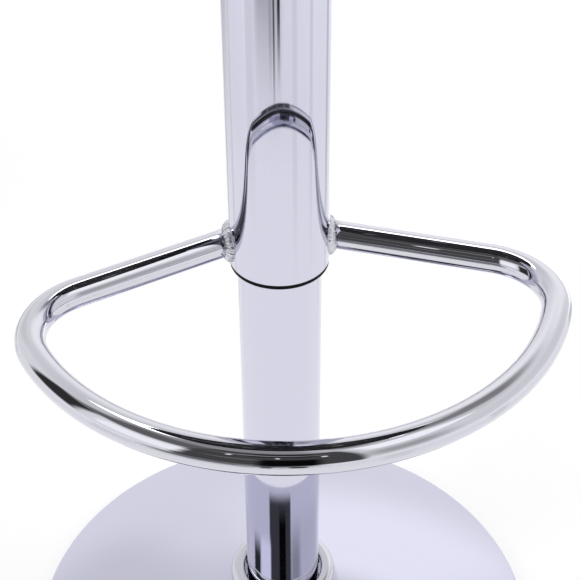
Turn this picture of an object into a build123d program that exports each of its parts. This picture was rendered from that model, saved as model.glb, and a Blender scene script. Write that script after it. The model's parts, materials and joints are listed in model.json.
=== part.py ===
"""Height-adjustable swivel stool on a gas-lift column, with a footrest loop and a round padded seat.

Millimetres. The origin is on the floor under the column, +Z is up and the front of the footrest is -Y.
The stool stands at the top of its stroke.
"""

import os
from math import cos, radians, sin, sqrt, tan

from build123d import *

# Column, sleeve and stroke
sleeve_radius = 30.0
sleeve_wall = 1.2
sleeve_length = 372.0
sleeve_foot = 338.0
column_radius = 25.5
column_wall = 2.0
column_top = 450.0
stroke = 210.0

# Clearances
running_clearance = 0.1
seat_clearance = 0.05
loose_clearance = 0.5
skin_clearance = 0.3

# Base
base_radius = 180.0
base_wall = 1.5
base_edge_height = 8.5
base_hem_bottom = 3.0
base_edge_round = 3.0
base_dome_height = 48.0
base_dome_bulge = 4.0
landing_margin = 1.0
collar_height = 15.0
collar_radius = 37.0
collar_gap = 2.0
collar_round = 5.0
collar_inner_round = 2.0
floor_ring_width = 18.0
floor_ring_height = 4.0
weight_height = 8.0
weight_overlap = 5.0
weight_bore = 20.0
flange_radius = 50.0
flange_height = 6.0
flange_screw_circle = 38.0
flange_screw_radius = 4.0
flange_screw_head_radius = 8.0
flange_screw_count = 4

# Thrust bearing and rod anchor at the foot of the column
anchor_rise = 12.0
anchor_height = 6.0
race_radius = 16.0
race_height = 2.5
ball_radius = 1.5
ball_circle = 11.0
ball_count = 12
cage_height = 1.6
cage_margin = 1.4
rod_radius = 5.0
rod_neck_radius = 4.0
rod_neck_below = 8.0
rod_washer_radius = 9.0
rod_washer_height = 2.0
rod_clip_radius = 7.0
rod_clip_height = 1.2
bump_radius = 12.0
bump_clearance = 4.0
bump_round = 2.0

# Gas cylinder
cylinder_radius = 14.0
cylinder_wall = 2.0
cylinder_below_column_top = 150.0
cylinder_taper_length = 30.0
cylinder_taper = 0.8
gland_height = 18.0
piston_rise = 30.0
piston_height = 20.0
piston_tail_radius = 3.5
piston_nut_radius = 6.0
piston_nut_height = 4.0
seal_height = 4.0
seal_depth = 2.0
valve_block_length = 95.0
valve_bore_depth = 45.0
valve_radius = 3.0
valve_travel = 5.0

# Guides
column_bush_length = 80.0
column_bush_lip = 3.0
sleeve_bush_length = 40.0
sleeve_bush_lip = 2.0
sleeve_bush_lip_inset = 0.8
plug_length = 20.0
plug_lip = 3.0

# Footrest: a flat loop, tilted up a little towards the front
footrest_tube_radius = 8.5
footrest_tube_wall = 1.5
footrest_above_rim = 12.3
footrest_tilt = 2.0
footrest_reach = 191.0
footrest_front_radius = 152.5
footrest_bend_radius = 43.5
footrest_arm_angle = 23.8
footrest_weld_back = 2.4
weld_width = 4.0
weld_height = 2.6

# Seat mechanism
hub_radius = 20.0
hub_height = 22.0
plate_thickness = 3.0
pan_side = 100.0
pan_depth = 25.0
plate_side = 160.0
plate_corner = 14.0
plate_hole_pitch = 124.0
bolt_radius = 3.0
bolt_head_radius = 5.0
bolt_head_height = 5.0
bolt_washer_radius = 8.0
bolt_washer_height = 1.5
bolt_end_inset = 3.0
t_nut_radius = 9.0
t_nut_flange = 1.2
t_nut_barrel_radius = 4.0
t_nut_barrel_length = 11.0

# Lever: raising the grip lowers the inner end on to the valve pin
lever_radius = 4.0
lever_arm = 28.0
lever_over_pin = 6.0
lever_pin_gap = 1.0
lever_valve_rise = 6.0
lever_bend_at = 42.0
lever_drop_angle = 14.0
lever_length = 178.0
lever_block_length = 12.0
lever_block_width = 11.0
lever_block_height = 10.0
lever_pin_radius = 2.5
lever_pin_head_radius = 4.0
lever_pin_head = 2.0
lever_ear = 2.5
lever_ear_gap = 0.5
lever_ear_over = 6.0
lever_slot_width = 14.0
lever_slot_depth = 16.0
grip_radius = 7.0
grip_length = 46.0
grip_end_wall = 3.0

# Seat
seat_radius = 200.0
board_inset = 15.0
board_height = 15.0
dust_cover_height = 1.2
dust_cover_inner = 118.0
dust_cover_inset = 2.0
cushion_height = 61.0
cushion_wrap = 3.5
cushion_full_height = 8.0
cushion_side_height = 30.0
cushion_shoulder_width = 22.0
cushion_crown = 11.0
welt_radius = 3.0
welt_inset = 3.0
welt_sink_angle = 15.0


# Heights that follow from the sizes above
weight_bottom = floor_ring_height
flange_bottom = weight_bottom + weight_height
column_foot = flange_bottom + flange_height
anchor_bottom = column_foot + anchor_rise
anchor_top = anchor_bottom + anchor_height
lower_race_top = anchor_top + race_height
ball_centre = lower_race_top + seat_clearance + ball_radius
upper_race_bottom = ball_centre + ball_radius + seat_clearance
rod_shoulder = upper_race_bottom + race_height
cylinder_foot = column_top - cylinder_below_column_top
piston_bottom = cylinder_foot + piston_rise
piston_top = piston_bottom + piston_height
bump_top = cylinder_foot - stroke - bump_clearance
sleeve_top = sleeve_foot + sleeve_length
plug_top = sleeve_top + plug_lip
hub_top = plug_top + hub_height
cylinder_top = hub_top - loose_clearance
pan_floor = hub_top + plate_thickness
flange_face = hub_top + pan_depth
board_top = flange_face + board_height
board_radius = seat_radius - board_inset
cushion_top = board_top + cushion_height
valve_top = pan_floor + lever_valve_rise
lever_height = valve_top + lever_pin_gap + lever_radius

# Radii that follow from the sizes above
column_bore = column_radius - column_wall
sleeve_bore = sleeve_radius - sleeve_wall
cylinder_bore = cylinder_radius - cylinder_wall
base_inner_radius = base_radius - base_wall
floor_ring_outer = base_inner_radius - skin_clearance
floor_ring_inner = floor_ring_outer - floor_ring_width
weight_radius = floor_ring_inner + weight_overlap


def ring(outer_radius, inner_radius):
    """A ring in the sketch that is being drawn."""
    Circle(outer_radius)
    Circle(inner_radius, mode=Mode.SUBTRACT)


# Base: rubber floor ring, ballast disc, chrome cover and trim collar
with BuildPart() as floor_ring:
    with BuildSketch():
        ring(floor_ring_outer, floor_ring_inner)
    extrude(amount=floor_ring_height)

with BuildPart() as base_weight:
    with BuildSketch(Plane.XY.offset(weight_bottom)):
        ring(weight_radius, weight_bore)
    extrude(amount=weight_height)
    with Locations(Plane.XY.offset(weight_bottom).rotated((180, 0, 0))):
        with PolarLocations(flange_screw_circle, flange_screw_count):
            CounterSinkHole(flange_screw_radius + running_clearance, flange_screw_head_radius + running_clearance,
                            weight_height)

# The dome is one arc in section, from the hem's edge to the flat landing under the collar
landing_radius = collar_radius + landing_margin
cover_hole = column_radius + loose_clearance
dome_run = base_radius - landing_radius
dome_rise = base_dome_height - base_edge_height
dome_chord = sqrt(dome_run**2 + dome_rise**2)
dome_radius = (dome_chord**2 / 4 + base_dome_bulge**2) / (2 * base_dome_bulge)
dome_axis_r = (base_radius + landing_radius) / 2 - (dome_radius - base_dome_bulge) * dome_rise / dome_chord
dome_axis_z = (base_edge_height + base_dome_height) / 2 - (dome_radius - base_dome_bulge) * dome_run / dome_chord


def dome_height(radius, depth):
    """Height of the dome's surface at a radius, for the skin that lies depth below the outside."""
    return dome_axis_z + sqrt((dome_radius - depth) ** 2 - (radius - dome_axis_r) ** 2)


def dome_reach(height, depth):
    """Radius at which the dome's skin reaches a height."""
    return dome_axis_r + sqrt((dome_radius - depth) ** 2 - (height - dome_axis_z) ** 2)


inner_landing = base_dome_height - base_wall
inner_landing_radius = dome_reach(inner_landing, base_wall)
dome_middle = (base_radius + landing_radius) / 2
with BuildPart() as base_cover:
    with BuildSketch(Plane.XZ):
        with BuildLine():
            Polyline((landing_radius, base_dome_height), (cover_hole, base_dome_height),
                     (cover_hole, inner_landing), (inner_landing_radius, inner_landing))
            ThreePointArc((inner_landing_radius, inner_landing), (dome_middle, dome_height(dome_middle, base_wall)),
                          (base_inner_radius, dome_height(base_inner_radius, base_wall)))
            Polyline((base_inner_radius, dome_height(base_inner_radius, base_wall)),
                     (base_inner_radius, base_hem_bottom), (base_radius, base_hem_bottom),
                     (base_radius, base_edge_height))
            ThreePointArc((base_radius, base_edge_height), (dome_middle, dome_height(dome_middle, 0)),
                          (landing_radius, base_dome_height))
        make_face()
    revolve(axis=Axis.Z)
    rims = base_cover.edges().filter_by(GeomType.CIRCLE).filter_by(lambda rim: abs(rim.radius - base_radius) < 0.01)
    fillet(rims.sort_by(Axis.Z)[-1], base_edge_round)

with BuildPart() as base_collar:
    with BuildSketch(Plane.XY.offset(base_dome_height)):
        ring(collar_radius, column_radius + collar_gap)
    extrude(amount=collar_height)
    crest = base_collar.faces().sort_by(Axis.Z)[-1].edges().sort_by(SortBy.RADIUS)
    fillet(crest[-1], collar_round)
    fillet(crest[0], collar_inner_round)

# Column: flange with its screws, tube and the guide at its mouth
with BuildPart() as column_flange:
    with BuildSketch(Plane.XY.offset(flange_bottom)):
        ring(flange_radius, weight_bore)
        with PolarLocations(flange_screw_circle, flange_screw_count):
            Circle(flange_screw_radius + seat_clearance, mode=Mode.SUBTRACT)
    extrude(amount=flange_height)

screw_head = flange_screw_head_radius - flange_screw_radius
with BuildPart() as column_screws:
    with PolarLocations(flange_screw_circle, flange_screw_count):
        with Locations((0, 0, weight_bottom)):
            Cone(flange_screw_head_radius, flange_screw_radius, screw_head,
                 align=(Align.CENTER, Align.CENTER, Align.MIN))
            Cylinder(flange_screw_radius, weight_height + flange_height,
                     align=(Align.CENTER, Align.CENTER, Align.MIN))

with BuildPart() as column_tube:
    with BuildSketch(Plane.XY.offset(column_foot)):
        ring(column_radius, column_bore)
    extrude(amount=column_top - column_foot)

with BuildPart() as column_floor:
    with BuildSketch(Plane.XY.offset(anchor_bottom)):
        ring(column_bore - seat_clearance, rod_neck_radius + running_clearance)
    extrude(amount=anchor_height)

with BuildPart() as column_bush:
    with BuildSketch(Plane.XY.offset(column_top - column_bush_length)):
        ring(column_bore - seat_clearance, cylinder_radius + running_clearance)
    extrude(amount=column_bush_length)
    with BuildSketch(Plane.XY.offset(column_top)):
        ring(column_radius, cylinder_radius + running_clearance)
    extrude(amount=column_bush_lip)

# Thrust bearing
with BuildPart() as bearing_lower_race:
    with BuildSketch(Plane.XY.offset(anchor_top)):
        ring(race_radius, rod_neck_radius + running_clearance)
    extrude(amount=race_height)

with BuildPart() as bearing_upper_race:
    with BuildSketch(Plane.XY.offset(upper_race_bottom)):
        ring(race_radius, rod_neck_radius + seat_clearance)
    extrude(amount=race_height)

with BuildPart() as bearing_balls:
    with Locations((0, 0, ball_centre)):
        with PolarLocations(ball_circle, ball_count):
            Sphere(ball_radius)

with BuildPart() as bearing_cage:
    with BuildSketch(Plane.XY.offset(ball_centre - cage_height / 2)):
        ring(ball_circle + ball_radius + cage_margin, ball_circle - ball_radius - cage_margin)
        with PolarLocations(ball_circle, ball_count):
            Circle(ball_radius + running_clearance, mode=Mode.SUBTRACT)
    extrude(amount=cage_height)

# Piston rod, held in the anchor by a washer and a clip
rod_foot = anchor_bottom - rod_neck_below
washer_bottom = anchor_bottom - running_clearance - rod_washer_height
with BuildPart() as piston_rod:
    with BuildSketch(Plane.XY.offset(rod_foot)):
        Circle(rod_neck_radius)
    extrude(amount=rod_shoulder - rod_foot)
    with BuildSketch(Plane.XY.offset(rod_shoulder)):
        Circle(rod_radius)
    extrude(amount=piston_bottom - rod_shoulder)
    with BuildSketch(Plane.XY.offset(piston_bottom)):
        Circle(piston_tail_radius)
    extrude(amount=piston_height + piston_nut_height)

with BuildPart() as rod_washer:
    with BuildSketch(Plane.XY.offset(washer_bottom)):
        ring(rod_washer_radius, rod_neck_radius + seat_clearance)
    extrude(amount=rod_washer_height)

with BuildPart() as rod_clip:
    with BuildSketch(Plane.XY.offset(washer_bottom - rod_clip_height)):
        ring(rod_clip_radius, rod_neck_radius + seat_clearance)
        with Locations((0, -rod_clip_radius)):
            Rectangle(rod_neck_radius, 2 * (rod_clip_radius - rod_neck_radius), mode=Mode.SUBTRACT)
    extrude(amount=rod_clip_height)

seal_bottom = piston_bottom + (piston_height - seal_height) / 2
piston_radius = cylinder_bore - running_clearance
with BuildPart() as piston:
    with BuildSketch(Plane.XY.offset(piston_bottom)):
        ring(piston_radius, piston_tail_radius + seat_clearance)
    extrude(amount=piston_height)
    with BuildSketch(Plane.XY.offset(seal_bottom)):
        ring(cylinder_radius, piston_radius - seal_depth)
    extrude(amount=seal_height, mode=Mode.SUBTRACT)

with BuildPart() as piston_seal:
    with BuildSketch(Plane.XY.offset(seal_bottom + seat_clearance)):
        ring(cylinder_bore - seat_clearance, piston_radius - seal_depth + seat_clearance)
    extrude(amount=seal_height - 2 * seat_clearance)

with BuildPart() as piston_nut:
    with BuildSketch(Plane.XY.offset(piston_top)):
        RegularPolygon(piston_nut_radius, 6)
        Circle(piston_tail_radius + seat_clearance, mode=Mode.SUBTRACT)
    extrude(amount=piston_nut_height)

with BuildPart() as bump_stop:
    with BuildSketch(Plane.XY.offset(rod_shoulder)):
        ring(bump_radius, rod_radius + running_clearance)
    extrude(amount=bump_top - rod_shoulder)
    fillet(bump_stop.faces().sort_by(Axis.Z)[-1].edges().sort_by(SortBy.RADIUS)[-1], bump_round)


# Gas cylinder with its gland and valve, tapered at the top to stick in the hub
taper_foot = cylinder_top - cylinder_taper_length


def taper_radius(height):
    """Radius of the cylinder's tapered head at a height."""
    return cylinder_radius - cylinder_taper * max(height - taper_foot, 0) / cylinder_taper_length


with BuildPart() as gas_cylinder:
    with BuildSketch(Plane.XZ):
        with BuildLine():
            Polyline((cylinder_bore, cylinder_foot), (cylinder_radius, cylinder_foot),
                     (cylinder_radius, taper_foot), (taper_radius(cylinder_top), cylinder_top),
                     (cylinder_bore, cylinder_top), close=True)
        make_face()
    revolve(axis=Axis.Z)

with BuildPart() as rod_guide:
    with BuildSketch(Plane.XY.offset(cylinder_foot)):
        ring(cylinder_bore - seat_clearance, rod_radius + running_clearance)
    extrude(amount=gland_height)

with BuildPart() as valve_block:
    with BuildSketch(Plane.XY.offset(cylinder_top - valve_block_length)):
        Circle(cylinder_bore - seat_clearance)
    extrude(amount=valve_block_length)
    with BuildSketch(Plane.XY.offset(cylinder_top - valve_bore_depth)):
        Circle(valve_radius + running_clearance)
    extrude(amount=valve_bore_depth, mode=Mode.SUBTRACT)

with BuildPart() as valve_pin:
    with BuildSketch(Plane.XY.offset(cylinder_top - valve_bore_depth + valve_travel + loose_clearance)):
        Circle(valve_radius)
    extrude(amount=valve_top - cylinder_top + valve_bore_depth - valve_travel - loose_clearance)

# Sleeve with the guide at its mouth and the plug at its top
with BuildPart() as sleeve:
    with BuildSketch(Plane.XY.offset(sleeve_foot)):
        ring(sleeve_radius, sleeve_bore)
    extrude(amount=sleeve_length)

sleeve_bush_bore = column_radius + running_clearance
with BuildPart() as sleeve_bush:
    with BuildSketch(Plane.XY.offset(sleeve_foot)):
        ring(sleeve_bore - seat_clearance, sleeve_bush_bore)
    extrude(amount=sleeve_bush_length)
    with BuildSketch(Plane.XY.offset(sleeve_foot - sleeve_bush_lip)):
        ring(sleeve_radius - sleeve_bush_lip_inset, sleeve_bush_bore)
    extrude(amount=sleeve_bush_lip)

with BuildPart() as sleeve_plug:
    with BuildSketch(Plane.XY.offset(sleeve_top - plug_length)):
        ring(sleeve_bore - seat_clearance, cylinder_radius + seat_clearance)
    extrude(amount=plug_length)
    with BuildSketch(Plane.XY.offset(sleeve_top)):
        ring(sleeve_radius, cylinder_radius + seat_clearance)
    extrude(amount=plug_lip)

# Footrest loop: two straight arms, two bends and one long front arc, all in one tilted plane
footrest_plane = Plane(
    origin=(0, 0, sleeve_foot + footrest_above_rim),
    x_dir=(1, 0, 0),
    z_dir=(0, sin(radians(footrest_tilt)), cos(radians(footrest_tilt))),
)
arm_sin = sin(radians(footrest_arm_angle))
arm_cos = cos(radians(footrest_arm_angle))
arm_slope = tan(radians(footrest_arm_angle))
arm_centre = footrest_weld_back + arm_slope * sleeve_radius
arm_start = sleeve_radius - 2 * footrest_tube_radius / 3
front_centre = footrest_front_radius - footrest_reach
bend_offset = arm_centre - footrest_bend_radius / arm_cos - front_centre
bend_link = footrest_front_radius - footrest_bend_radius
bend_root = sqrt((bend_offset * arm_slope) ** 2 - (1 + arm_slope**2) * (bend_offset**2 - bend_link**2))
bend_x = (bend_offset * arm_slope + bend_root) / (1 + arm_slope**2)
bend_y = front_centre + bend_offset - arm_slope * bend_x
arm_end = (bend_x + footrest_bend_radius * arm_sin, bend_y + footrest_bend_radius * arm_cos)
link_x = bend_x / bend_link
link_y = (bend_y - front_centre) / bend_link
bend_end = (footrest_front_radius * link_x, front_centre + footrest_front_radius * link_y)
outward = sqrt((arm_sin + link_x) ** 2 + (arm_cos + link_y) ** 2)
bend_middle = (
    bend_x + footrest_bend_radius * (arm_sin + link_x) / outward,
    bend_y + footrest_bend_radius * (arm_cos + link_y) / outward,
)


def flipped(point):
    """The mirror image of a point across the stool's middle plane."""
    return (-point[0], point[1])


arm_root = (arm_start, arm_centre - arm_slope * arm_start)
with BuildPart() as footrest:
    with BuildLine(footrest_plane) as footrest_path:
        Line(arm_root, arm_end)
        ThreePointArc(arm_end, bend_middle, bend_end)
        ThreePointArc(bend_end, (0, -footrest_reach), flipped(bend_end))
        ThreePointArc(flipped(bend_end), flipped(bend_middle), flipped(arm_end))
        Line(flipped(arm_end), flipped(arm_root))
    with BuildSketch(Plane(origin=footrest_path.line @ 0, z_dir=footrest_path.line % 0)):
        ring(footrest_tube_radius, footrest_tube_radius - footrest_tube_wall)
    sweep(path=footrest_path.line)
    with Locations((0, 0, sleeve_foot)):
        Cylinder(sleeve_radius + seat_clearance, sleeve_length, align=(Align.CENTER, Align.CENTER, Align.MIN),
                 mode=Mode.SUBTRACT)

# Weld beads where the arms meet the sleeve
bead_outer = footrest_tube_radius + weld_height
bead_run = 2 * footrest_tube_radius + weld_width
with BuildPart() as footrest_welds:
    for side in (1, -1):
        root = footrest_plane.from_local_coords((side * arm_root[0], arm_root[1], 0))
        tip = footrest_plane.from_local_coords((side * arm_end[0], arm_end[1], 0))
        with BuildSketch(Plane(origin=root, z_dir=tip - root)):
            ring(bead_outer, footrest_tube_radius + seat_clearance)
        extrude(amount=bead_run)
    with BuildSketch(Plane.XY.offset(sleeve_foot)):
        Circle(2 * sleeve_radius)
        Circle(sleeve_radius + weld_width, mode=Mode.SUBTRACT)
    extrude(amount=sleeve_length, mode=Mode.SUBTRACT)
    with BuildSketch(Plane.XY.offset(sleeve_foot)):
        Circle(sleeve_radius + seat_clearance)
    extrude(amount=sleeve_length, mode=Mode.SUBTRACT)

# Seat mechanism: taper hub, pressed plate, bracket and pin
with BuildPart() as seat_hub:
    with BuildSketch(Plane.XZ):
        with BuildLine():
            Polyline((taper_radius(plug_top) + seat_clearance, plug_top), (hub_radius, plug_top),
                     (hub_radius, hub_top), (taper_radius(cylinder_top) + seat_clearance, hub_top),
                     (taper_radius(cylinder_top) + seat_clearance, cylinder_top), close=True)
        make_face()
    revolve(axis=Axis.Z)

pivot_x = -lever_arm
with BuildPart() as seat_plate:
    with BuildSketch(Plane.XY.offset(hub_top)):
        RectangleRounded(pan_side, pan_side, plate_corner)
    extrude(amount=pan_depth)
    with BuildSketch(Plane.XY.offset(flange_face - plate_thickness)):
        RectangleRounded(plate_side, plate_side, plate_corner)
        with GridLocations(plate_hole_pitch, plate_hole_pitch, 2, 2):
            Circle(bolt_radius + loose_clearance, mode=Mode.SUBTRACT)
    extrude(amount=plate_thickness)
    pan_inside = pan_side - 2 * plate_thickness
    with BuildSketch(Plane.XY.offset(pan_floor)):
        RectangleRounded(pan_inside, pan_inside, plate_corner - plate_thickness)
    extrude(amount=pan_depth, mode=Mode.SUBTRACT)
    with BuildSketch(Plane.XY.offset(hub_top)):
        Circle(cylinder_bore - cylinder_taper)
    extrude(amount=plate_thickness, mode=Mode.SUBTRACT)
    with Locations((-pan_side / 2, 0, flange_face - plate_thickness)):
        Box(4 * plate_thickness, lever_slot_width, lever_slot_depth, align=(Align.CENTER, Align.CENTER, Align.MAX),
            mode=Mode.SUBTRACT)

ear_inner = lever_block_width / 2 + lever_ear_gap
ear_outer = ear_inner + lever_ear
with BuildPart() as lever_bracket:
    with BuildSketch(Plane.XY.offset(pan_floor)):
        with Locations((pivot_x, 0)):
            Rectangle(lever_block_length, 2 * ear_outer)
    extrude(amount=lever_height + lever_ear_over - pan_floor)
    with Locations((pivot_x, 0, pan_floor + lever_ear)):
        Box(2 * lever_block_length, 2 * ear_inner, 2 * lever_height, align=(Align.CENTER, Align.CENTER, Align.MIN),
            mode=Mode.SUBTRACT)
    with BuildSketch(Plane.XZ.offset(-2 * ear_outer)):
        with Locations((pivot_x, lever_height)):
            Circle(lever_pin_radius + seat_clearance)
    extrude(amount=4 * ear_outer, mode=Mode.SUBTRACT)

with BuildPart() as lever_pin:
    with BuildSketch(Plane.XZ.offset(-ear_outer - lever_pin_head)):
        with Locations((pivot_x, lever_height)):
            Circle(lever_pin_radius)
    extrude(amount=2 * ear_outer + lever_pin_head)
    with BuildSketch(Plane.XZ.offset(ear_outer)):
        with Locations((pivot_x, lever_height)):
            Circle(lever_pin_head_radius)
    extrude(amount=lever_pin_head)

# Lever rod: level over the valve, then bent down under the seat
lever_dive = radians(lever_drop_angle)
lever_knee = Vector(-lever_bend_at, 0, lever_height)
lever_run = (lever_length - lever_bend_at) / cos(lever_dive)
lever_tip = lever_knee + Vector(-cos(lever_dive), 0, -sin(lever_dive)) * lever_run
lever_bend_radius = 3 * lever_radius
with BuildPart() as lever_rod:
    with BuildLine() as lever_path:
        FilletPolyline((lever_over_pin, 0, lever_height), lever_knee, lever_tip, radius=lever_bend_radius)
    with BuildSketch(Plane(origin=lever_path.line @ 0, z_dir=lever_path.line % 0)):
        Circle(lever_radius)
    sweep(path=lever_path.line)
    with Locations((pivot_x, 0, lever_height)):
        Box(lever_block_length, lever_block_width, lever_block_height)
    with BuildSketch(Plane.XZ.offset(-lever_block_width)):
        with Locations((pivot_x, lever_height)):
            Circle(lever_pin_radius + running_clearance)
    extrude(amount=2 * lever_block_width, mode=Mode.SUBTRACT)

grip_plane = Plane(origin=lever_tip, z_dir=lever_knee - lever_tip)
with BuildPart() as lever_grip:
    with BuildSketch(grip_plane.offset(-grip_end_wall)):
        Circle(grip_radius)
    extrude(amount=grip_length)
    fillet(lever_grip.edges().filter_by(GeomType.CIRCLE), grip_end_wall / 2)
    with BuildSketch(grip_plane):
        Circle(lever_radius + seat_clearance)
    extrude(amount=grip_length, mode=Mode.SUBTRACT)

# Seat: plywood board on the plate, its fasteners, dust cover, cushion and welt
t_nut_recess = board_top - t_nut_flange
with BuildPart() as seat_board:
    with BuildSketch(Plane.XY.offset(flange_face)):
        Circle(board_radius)
        with GridLocations(plate_hole_pitch, plate_hole_pitch, 2, 2):
            Circle(t_nut_barrel_radius + seat_clearance, mode=Mode.SUBTRACT)
    extrude(amount=board_height)
    with BuildSketch(Plane.XY.offset(t_nut_recess)):
        with GridLocations(plate_hole_pitch, plate_hole_pitch, 2, 2):
            Circle(t_nut_radius + seat_clearance)
    extrude(amount=t_nut_flange, mode=Mode.SUBTRACT)

with BuildPart() as t_nuts:
    with BuildSketch(Plane.XY.offset(t_nut_recess)):
        with GridLocations(plate_hole_pitch, plate_hole_pitch, 2, 2):
            ring(t_nut_radius, bolt_radius + seat_clearance)
    extrude(amount=t_nut_flange)
    with BuildSketch(Plane.XY.offset(t_nut_recess - t_nut_barrel_length)):
        with GridLocations(plate_hole_pitch, plate_hole_pitch, 2, 2):
            ring(t_nut_barrel_radius, bolt_radius + seat_clearance)
    extrude(amount=t_nut_barrel_length)

bolt_seat = flange_face - plate_thickness - bolt_washer_height
with BuildPart() as bolt_washers:
    with BuildSketch(Plane.XY.offset(bolt_seat)):
        with GridLocations(plate_hole_pitch, plate_hole_pitch, 2, 2):
            ring(bolt_washer_radius, bolt_radius + seat_clearance)
    extrude(amount=bolt_washer_height)

with BuildPart() as seat_bolts:
    with BuildSketch(Plane.XY.offset(bolt_seat - bolt_head_height)):
        with GridLocations(plate_hole_pitch, plate_hole_pitch, 2, 2):
            RegularPolygon(bolt_head_radius, 6)
    extrude(amount=bolt_head_height)
    with BuildSketch(Plane.XY.offset(bolt_seat)):
        with GridLocations(plate_hole_pitch, plate_hole_pitch, 2, 2):
            Circle(bolt_radius)
    extrude(amount=board_top - bolt_end_inset - bolt_seat)

with BuildPart() as dust_cover:
    with BuildSketch(Plane.XY.offset(flange_face - dust_cover_height)):
        ring(board_radius - dust_cover_inset, dust_cover_inner)
    extrude(amount=dust_cover_height)

# The cushion's section: wrapped down over the board, full at the side, nipped at the welt and crowned on top
wrap_inner = board_radius + skin_clearance
wrap_outer = wrap_inner + cushion_wrap
full_height = board_top + cushion_full_height
welt_height = board_top + cushion_side_height
welt_ring = seat_radius - welt_inset - welt_radius
groove = welt_radius + skin_clearance
groove_mouth = welt_ring - groove * sin(radians(welt_sink_angle))
groove_half = groove * cos(radians(welt_sink_angle))
crown_edge = welt_ring - cushion_shoulder_width
crown_foot = cushion_top - cushion_crown
crown_radius = (crown_edge**2 + cushion_crown**2) / (2 * cushion_crown)
crown_middle = cushion_top - crown_radius + sqrt(crown_radius**2 - crown_edge**2 / 4)
with BuildPart() as seat_cushion:
    with BuildSketch(Plane.XZ):
        with BuildLine():
            Polyline((0, cushion_top), (0, board_top), (wrap_inner, board_top), (wrap_inner, flange_face),
                     (wrap_outer, flange_face))
            TangentArc((seat_radius, full_height), (wrap_outer, flange_face), tangent=(0, -1))
            TangentArc((seat_radius, full_height), (groove_mouth, welt_height - groove_half), tangent=(0, 1))
            ThreePointArc((groove_mouth, welt_height - groove_half), (welt_ring - groove, welt_height),
                          (groove_mouth, welt_height + groove_half))
            TangentArc((crown_edge, crown_foot), (groove_mouth, welt_height + groove_half),
                       tangent=(crown_radius - cushion_crown, -crown_edge))
            ThreePointArc((crown_edge, crown_foot), (crown_edge / 2, crown_middle), (0, cushion_top))
        make_face()
    revolve(axis=Axis.Z)

with BuildPart() as seat_welt:
    with BuildSketch(Plane.XZ):
        with Locations((welt_ring, welt_height)):
            Circle(welt_radius)
    revolve(axis=Axis.Z)

pieces = {
    "floor_ring": floor_ring,
    "base_weight": base_weight,
    "base_cover": base_cover,
    "base_collar": base_collar,
    "column_flange": column_flange,
    "column_screws": column_screws,
    "column_tube": column_tube,
    "column_floor": column_floor,
    "column_bush": column_bush,
    "bearing_lower_race": bearing_lower_race,
    "bearing_upper_race": bearing_upper_race,
    "bearing_balls": bearing_balls,
    "bearing_cage": bearing_cage,
    "piston_rod": piston_rod,
    "rod_washer": rod_washer,
    "rod_clip": rod_clip,
    "piston": piston,
    "piston_seal": piston_seal,
    "piston_nut": piston_nut,
    "bump_stop": bump_stop,
    "gas_cylinder": gas_cylinder,
    "rod_guide": rod_guide,
    "valve_block": valve_block,
    "valve_pin": valve_pin,
    "sleeve": sleeve,
    "sleeve_bush": sleeve_bush,
    "sleeve_plug": sleeve_plug,
    "footrest": footrest,
    "footrest_welds": footrest_welds,
    "seat_hub": seat_hub,
    "seat_plate": seat_plate,
    "lever_bracket": lever_bracket,
    "lever_pin": lever_pin,
    "lever_rod": lever_rod,
    "lever_grip": lever_grip,
    "seat_board": seat_board,
    "t_nuts": t_nuts,
    "bolt_washers": bolt_washers,
    "seat_bolts": seat_bolts,
    "dust_cover": dust_cover,
    "seat_cushion": seat_cushion,
    "seat_welt": seat_welt,
}
os.makedirs("parts", exist_ok=True)
for node, piece in pieces.items():
    piece.part.label = node
    export_step(piece.part, f"parts/{node}.step")
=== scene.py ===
# %% [markdown]
# # A chromed gas-lift stool
#
# The stool is a column that telescopes: a mirror-chromed sleeve slides over a thinner chromed tube that
# stands in a domed round base. A looped footrest is welded to the sleeve, and a padded seat sits on top,
# above a lift lever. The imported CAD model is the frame. It fixes every size and place, so each surface here
# is worked out from the frame's boxes and sits where the CAD says.

# %% Load the frame
import json
import math

import bmesh
import bpy
import numpy as np
from mathutils import Matrix, Vector


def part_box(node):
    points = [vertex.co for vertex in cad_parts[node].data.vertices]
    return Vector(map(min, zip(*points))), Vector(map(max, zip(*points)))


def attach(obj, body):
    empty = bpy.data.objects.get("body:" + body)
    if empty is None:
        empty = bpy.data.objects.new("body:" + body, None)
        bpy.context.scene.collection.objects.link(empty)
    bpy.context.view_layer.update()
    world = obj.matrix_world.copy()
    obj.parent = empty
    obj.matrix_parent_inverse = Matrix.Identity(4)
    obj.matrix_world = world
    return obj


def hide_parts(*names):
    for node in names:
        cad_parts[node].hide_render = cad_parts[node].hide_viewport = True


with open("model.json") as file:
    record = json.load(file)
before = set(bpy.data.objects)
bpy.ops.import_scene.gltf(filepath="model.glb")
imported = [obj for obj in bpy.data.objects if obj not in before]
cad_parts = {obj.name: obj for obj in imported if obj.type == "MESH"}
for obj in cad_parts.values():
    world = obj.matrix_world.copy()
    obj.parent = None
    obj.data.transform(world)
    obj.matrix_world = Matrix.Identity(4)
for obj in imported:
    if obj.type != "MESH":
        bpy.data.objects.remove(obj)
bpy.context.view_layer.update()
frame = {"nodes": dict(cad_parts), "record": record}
MM = 0.001

# %% [markdown]
# ## Grids and sections
#
# Nearly everything on this stool is turned or bent from tube, so two surfaces do most of the work: a section
# spun about the column, and a circle carried along a path. Both are grids of points, so one function can
# join any grid with faces. A mirror finish shows every flaw in the shading, so corners get a small arc with
# a guard point on each side: smooth shading then turns on the arc alone and the long walls stay true.


# %% Point helpers
def points_of(*parts):
    """Coordinates that were worked out apart, spread to one shape and set side by side as points."""
    return np.stack(np.broadcast_arrays(*parts), axis=-1)


def polar(radius, turn, height):
    """Points about the column: x = r cos a, y = r sin a, z = height."""
    return points_of(radius * np.cos(turn), radius * np.sin(turn), height)


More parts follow.
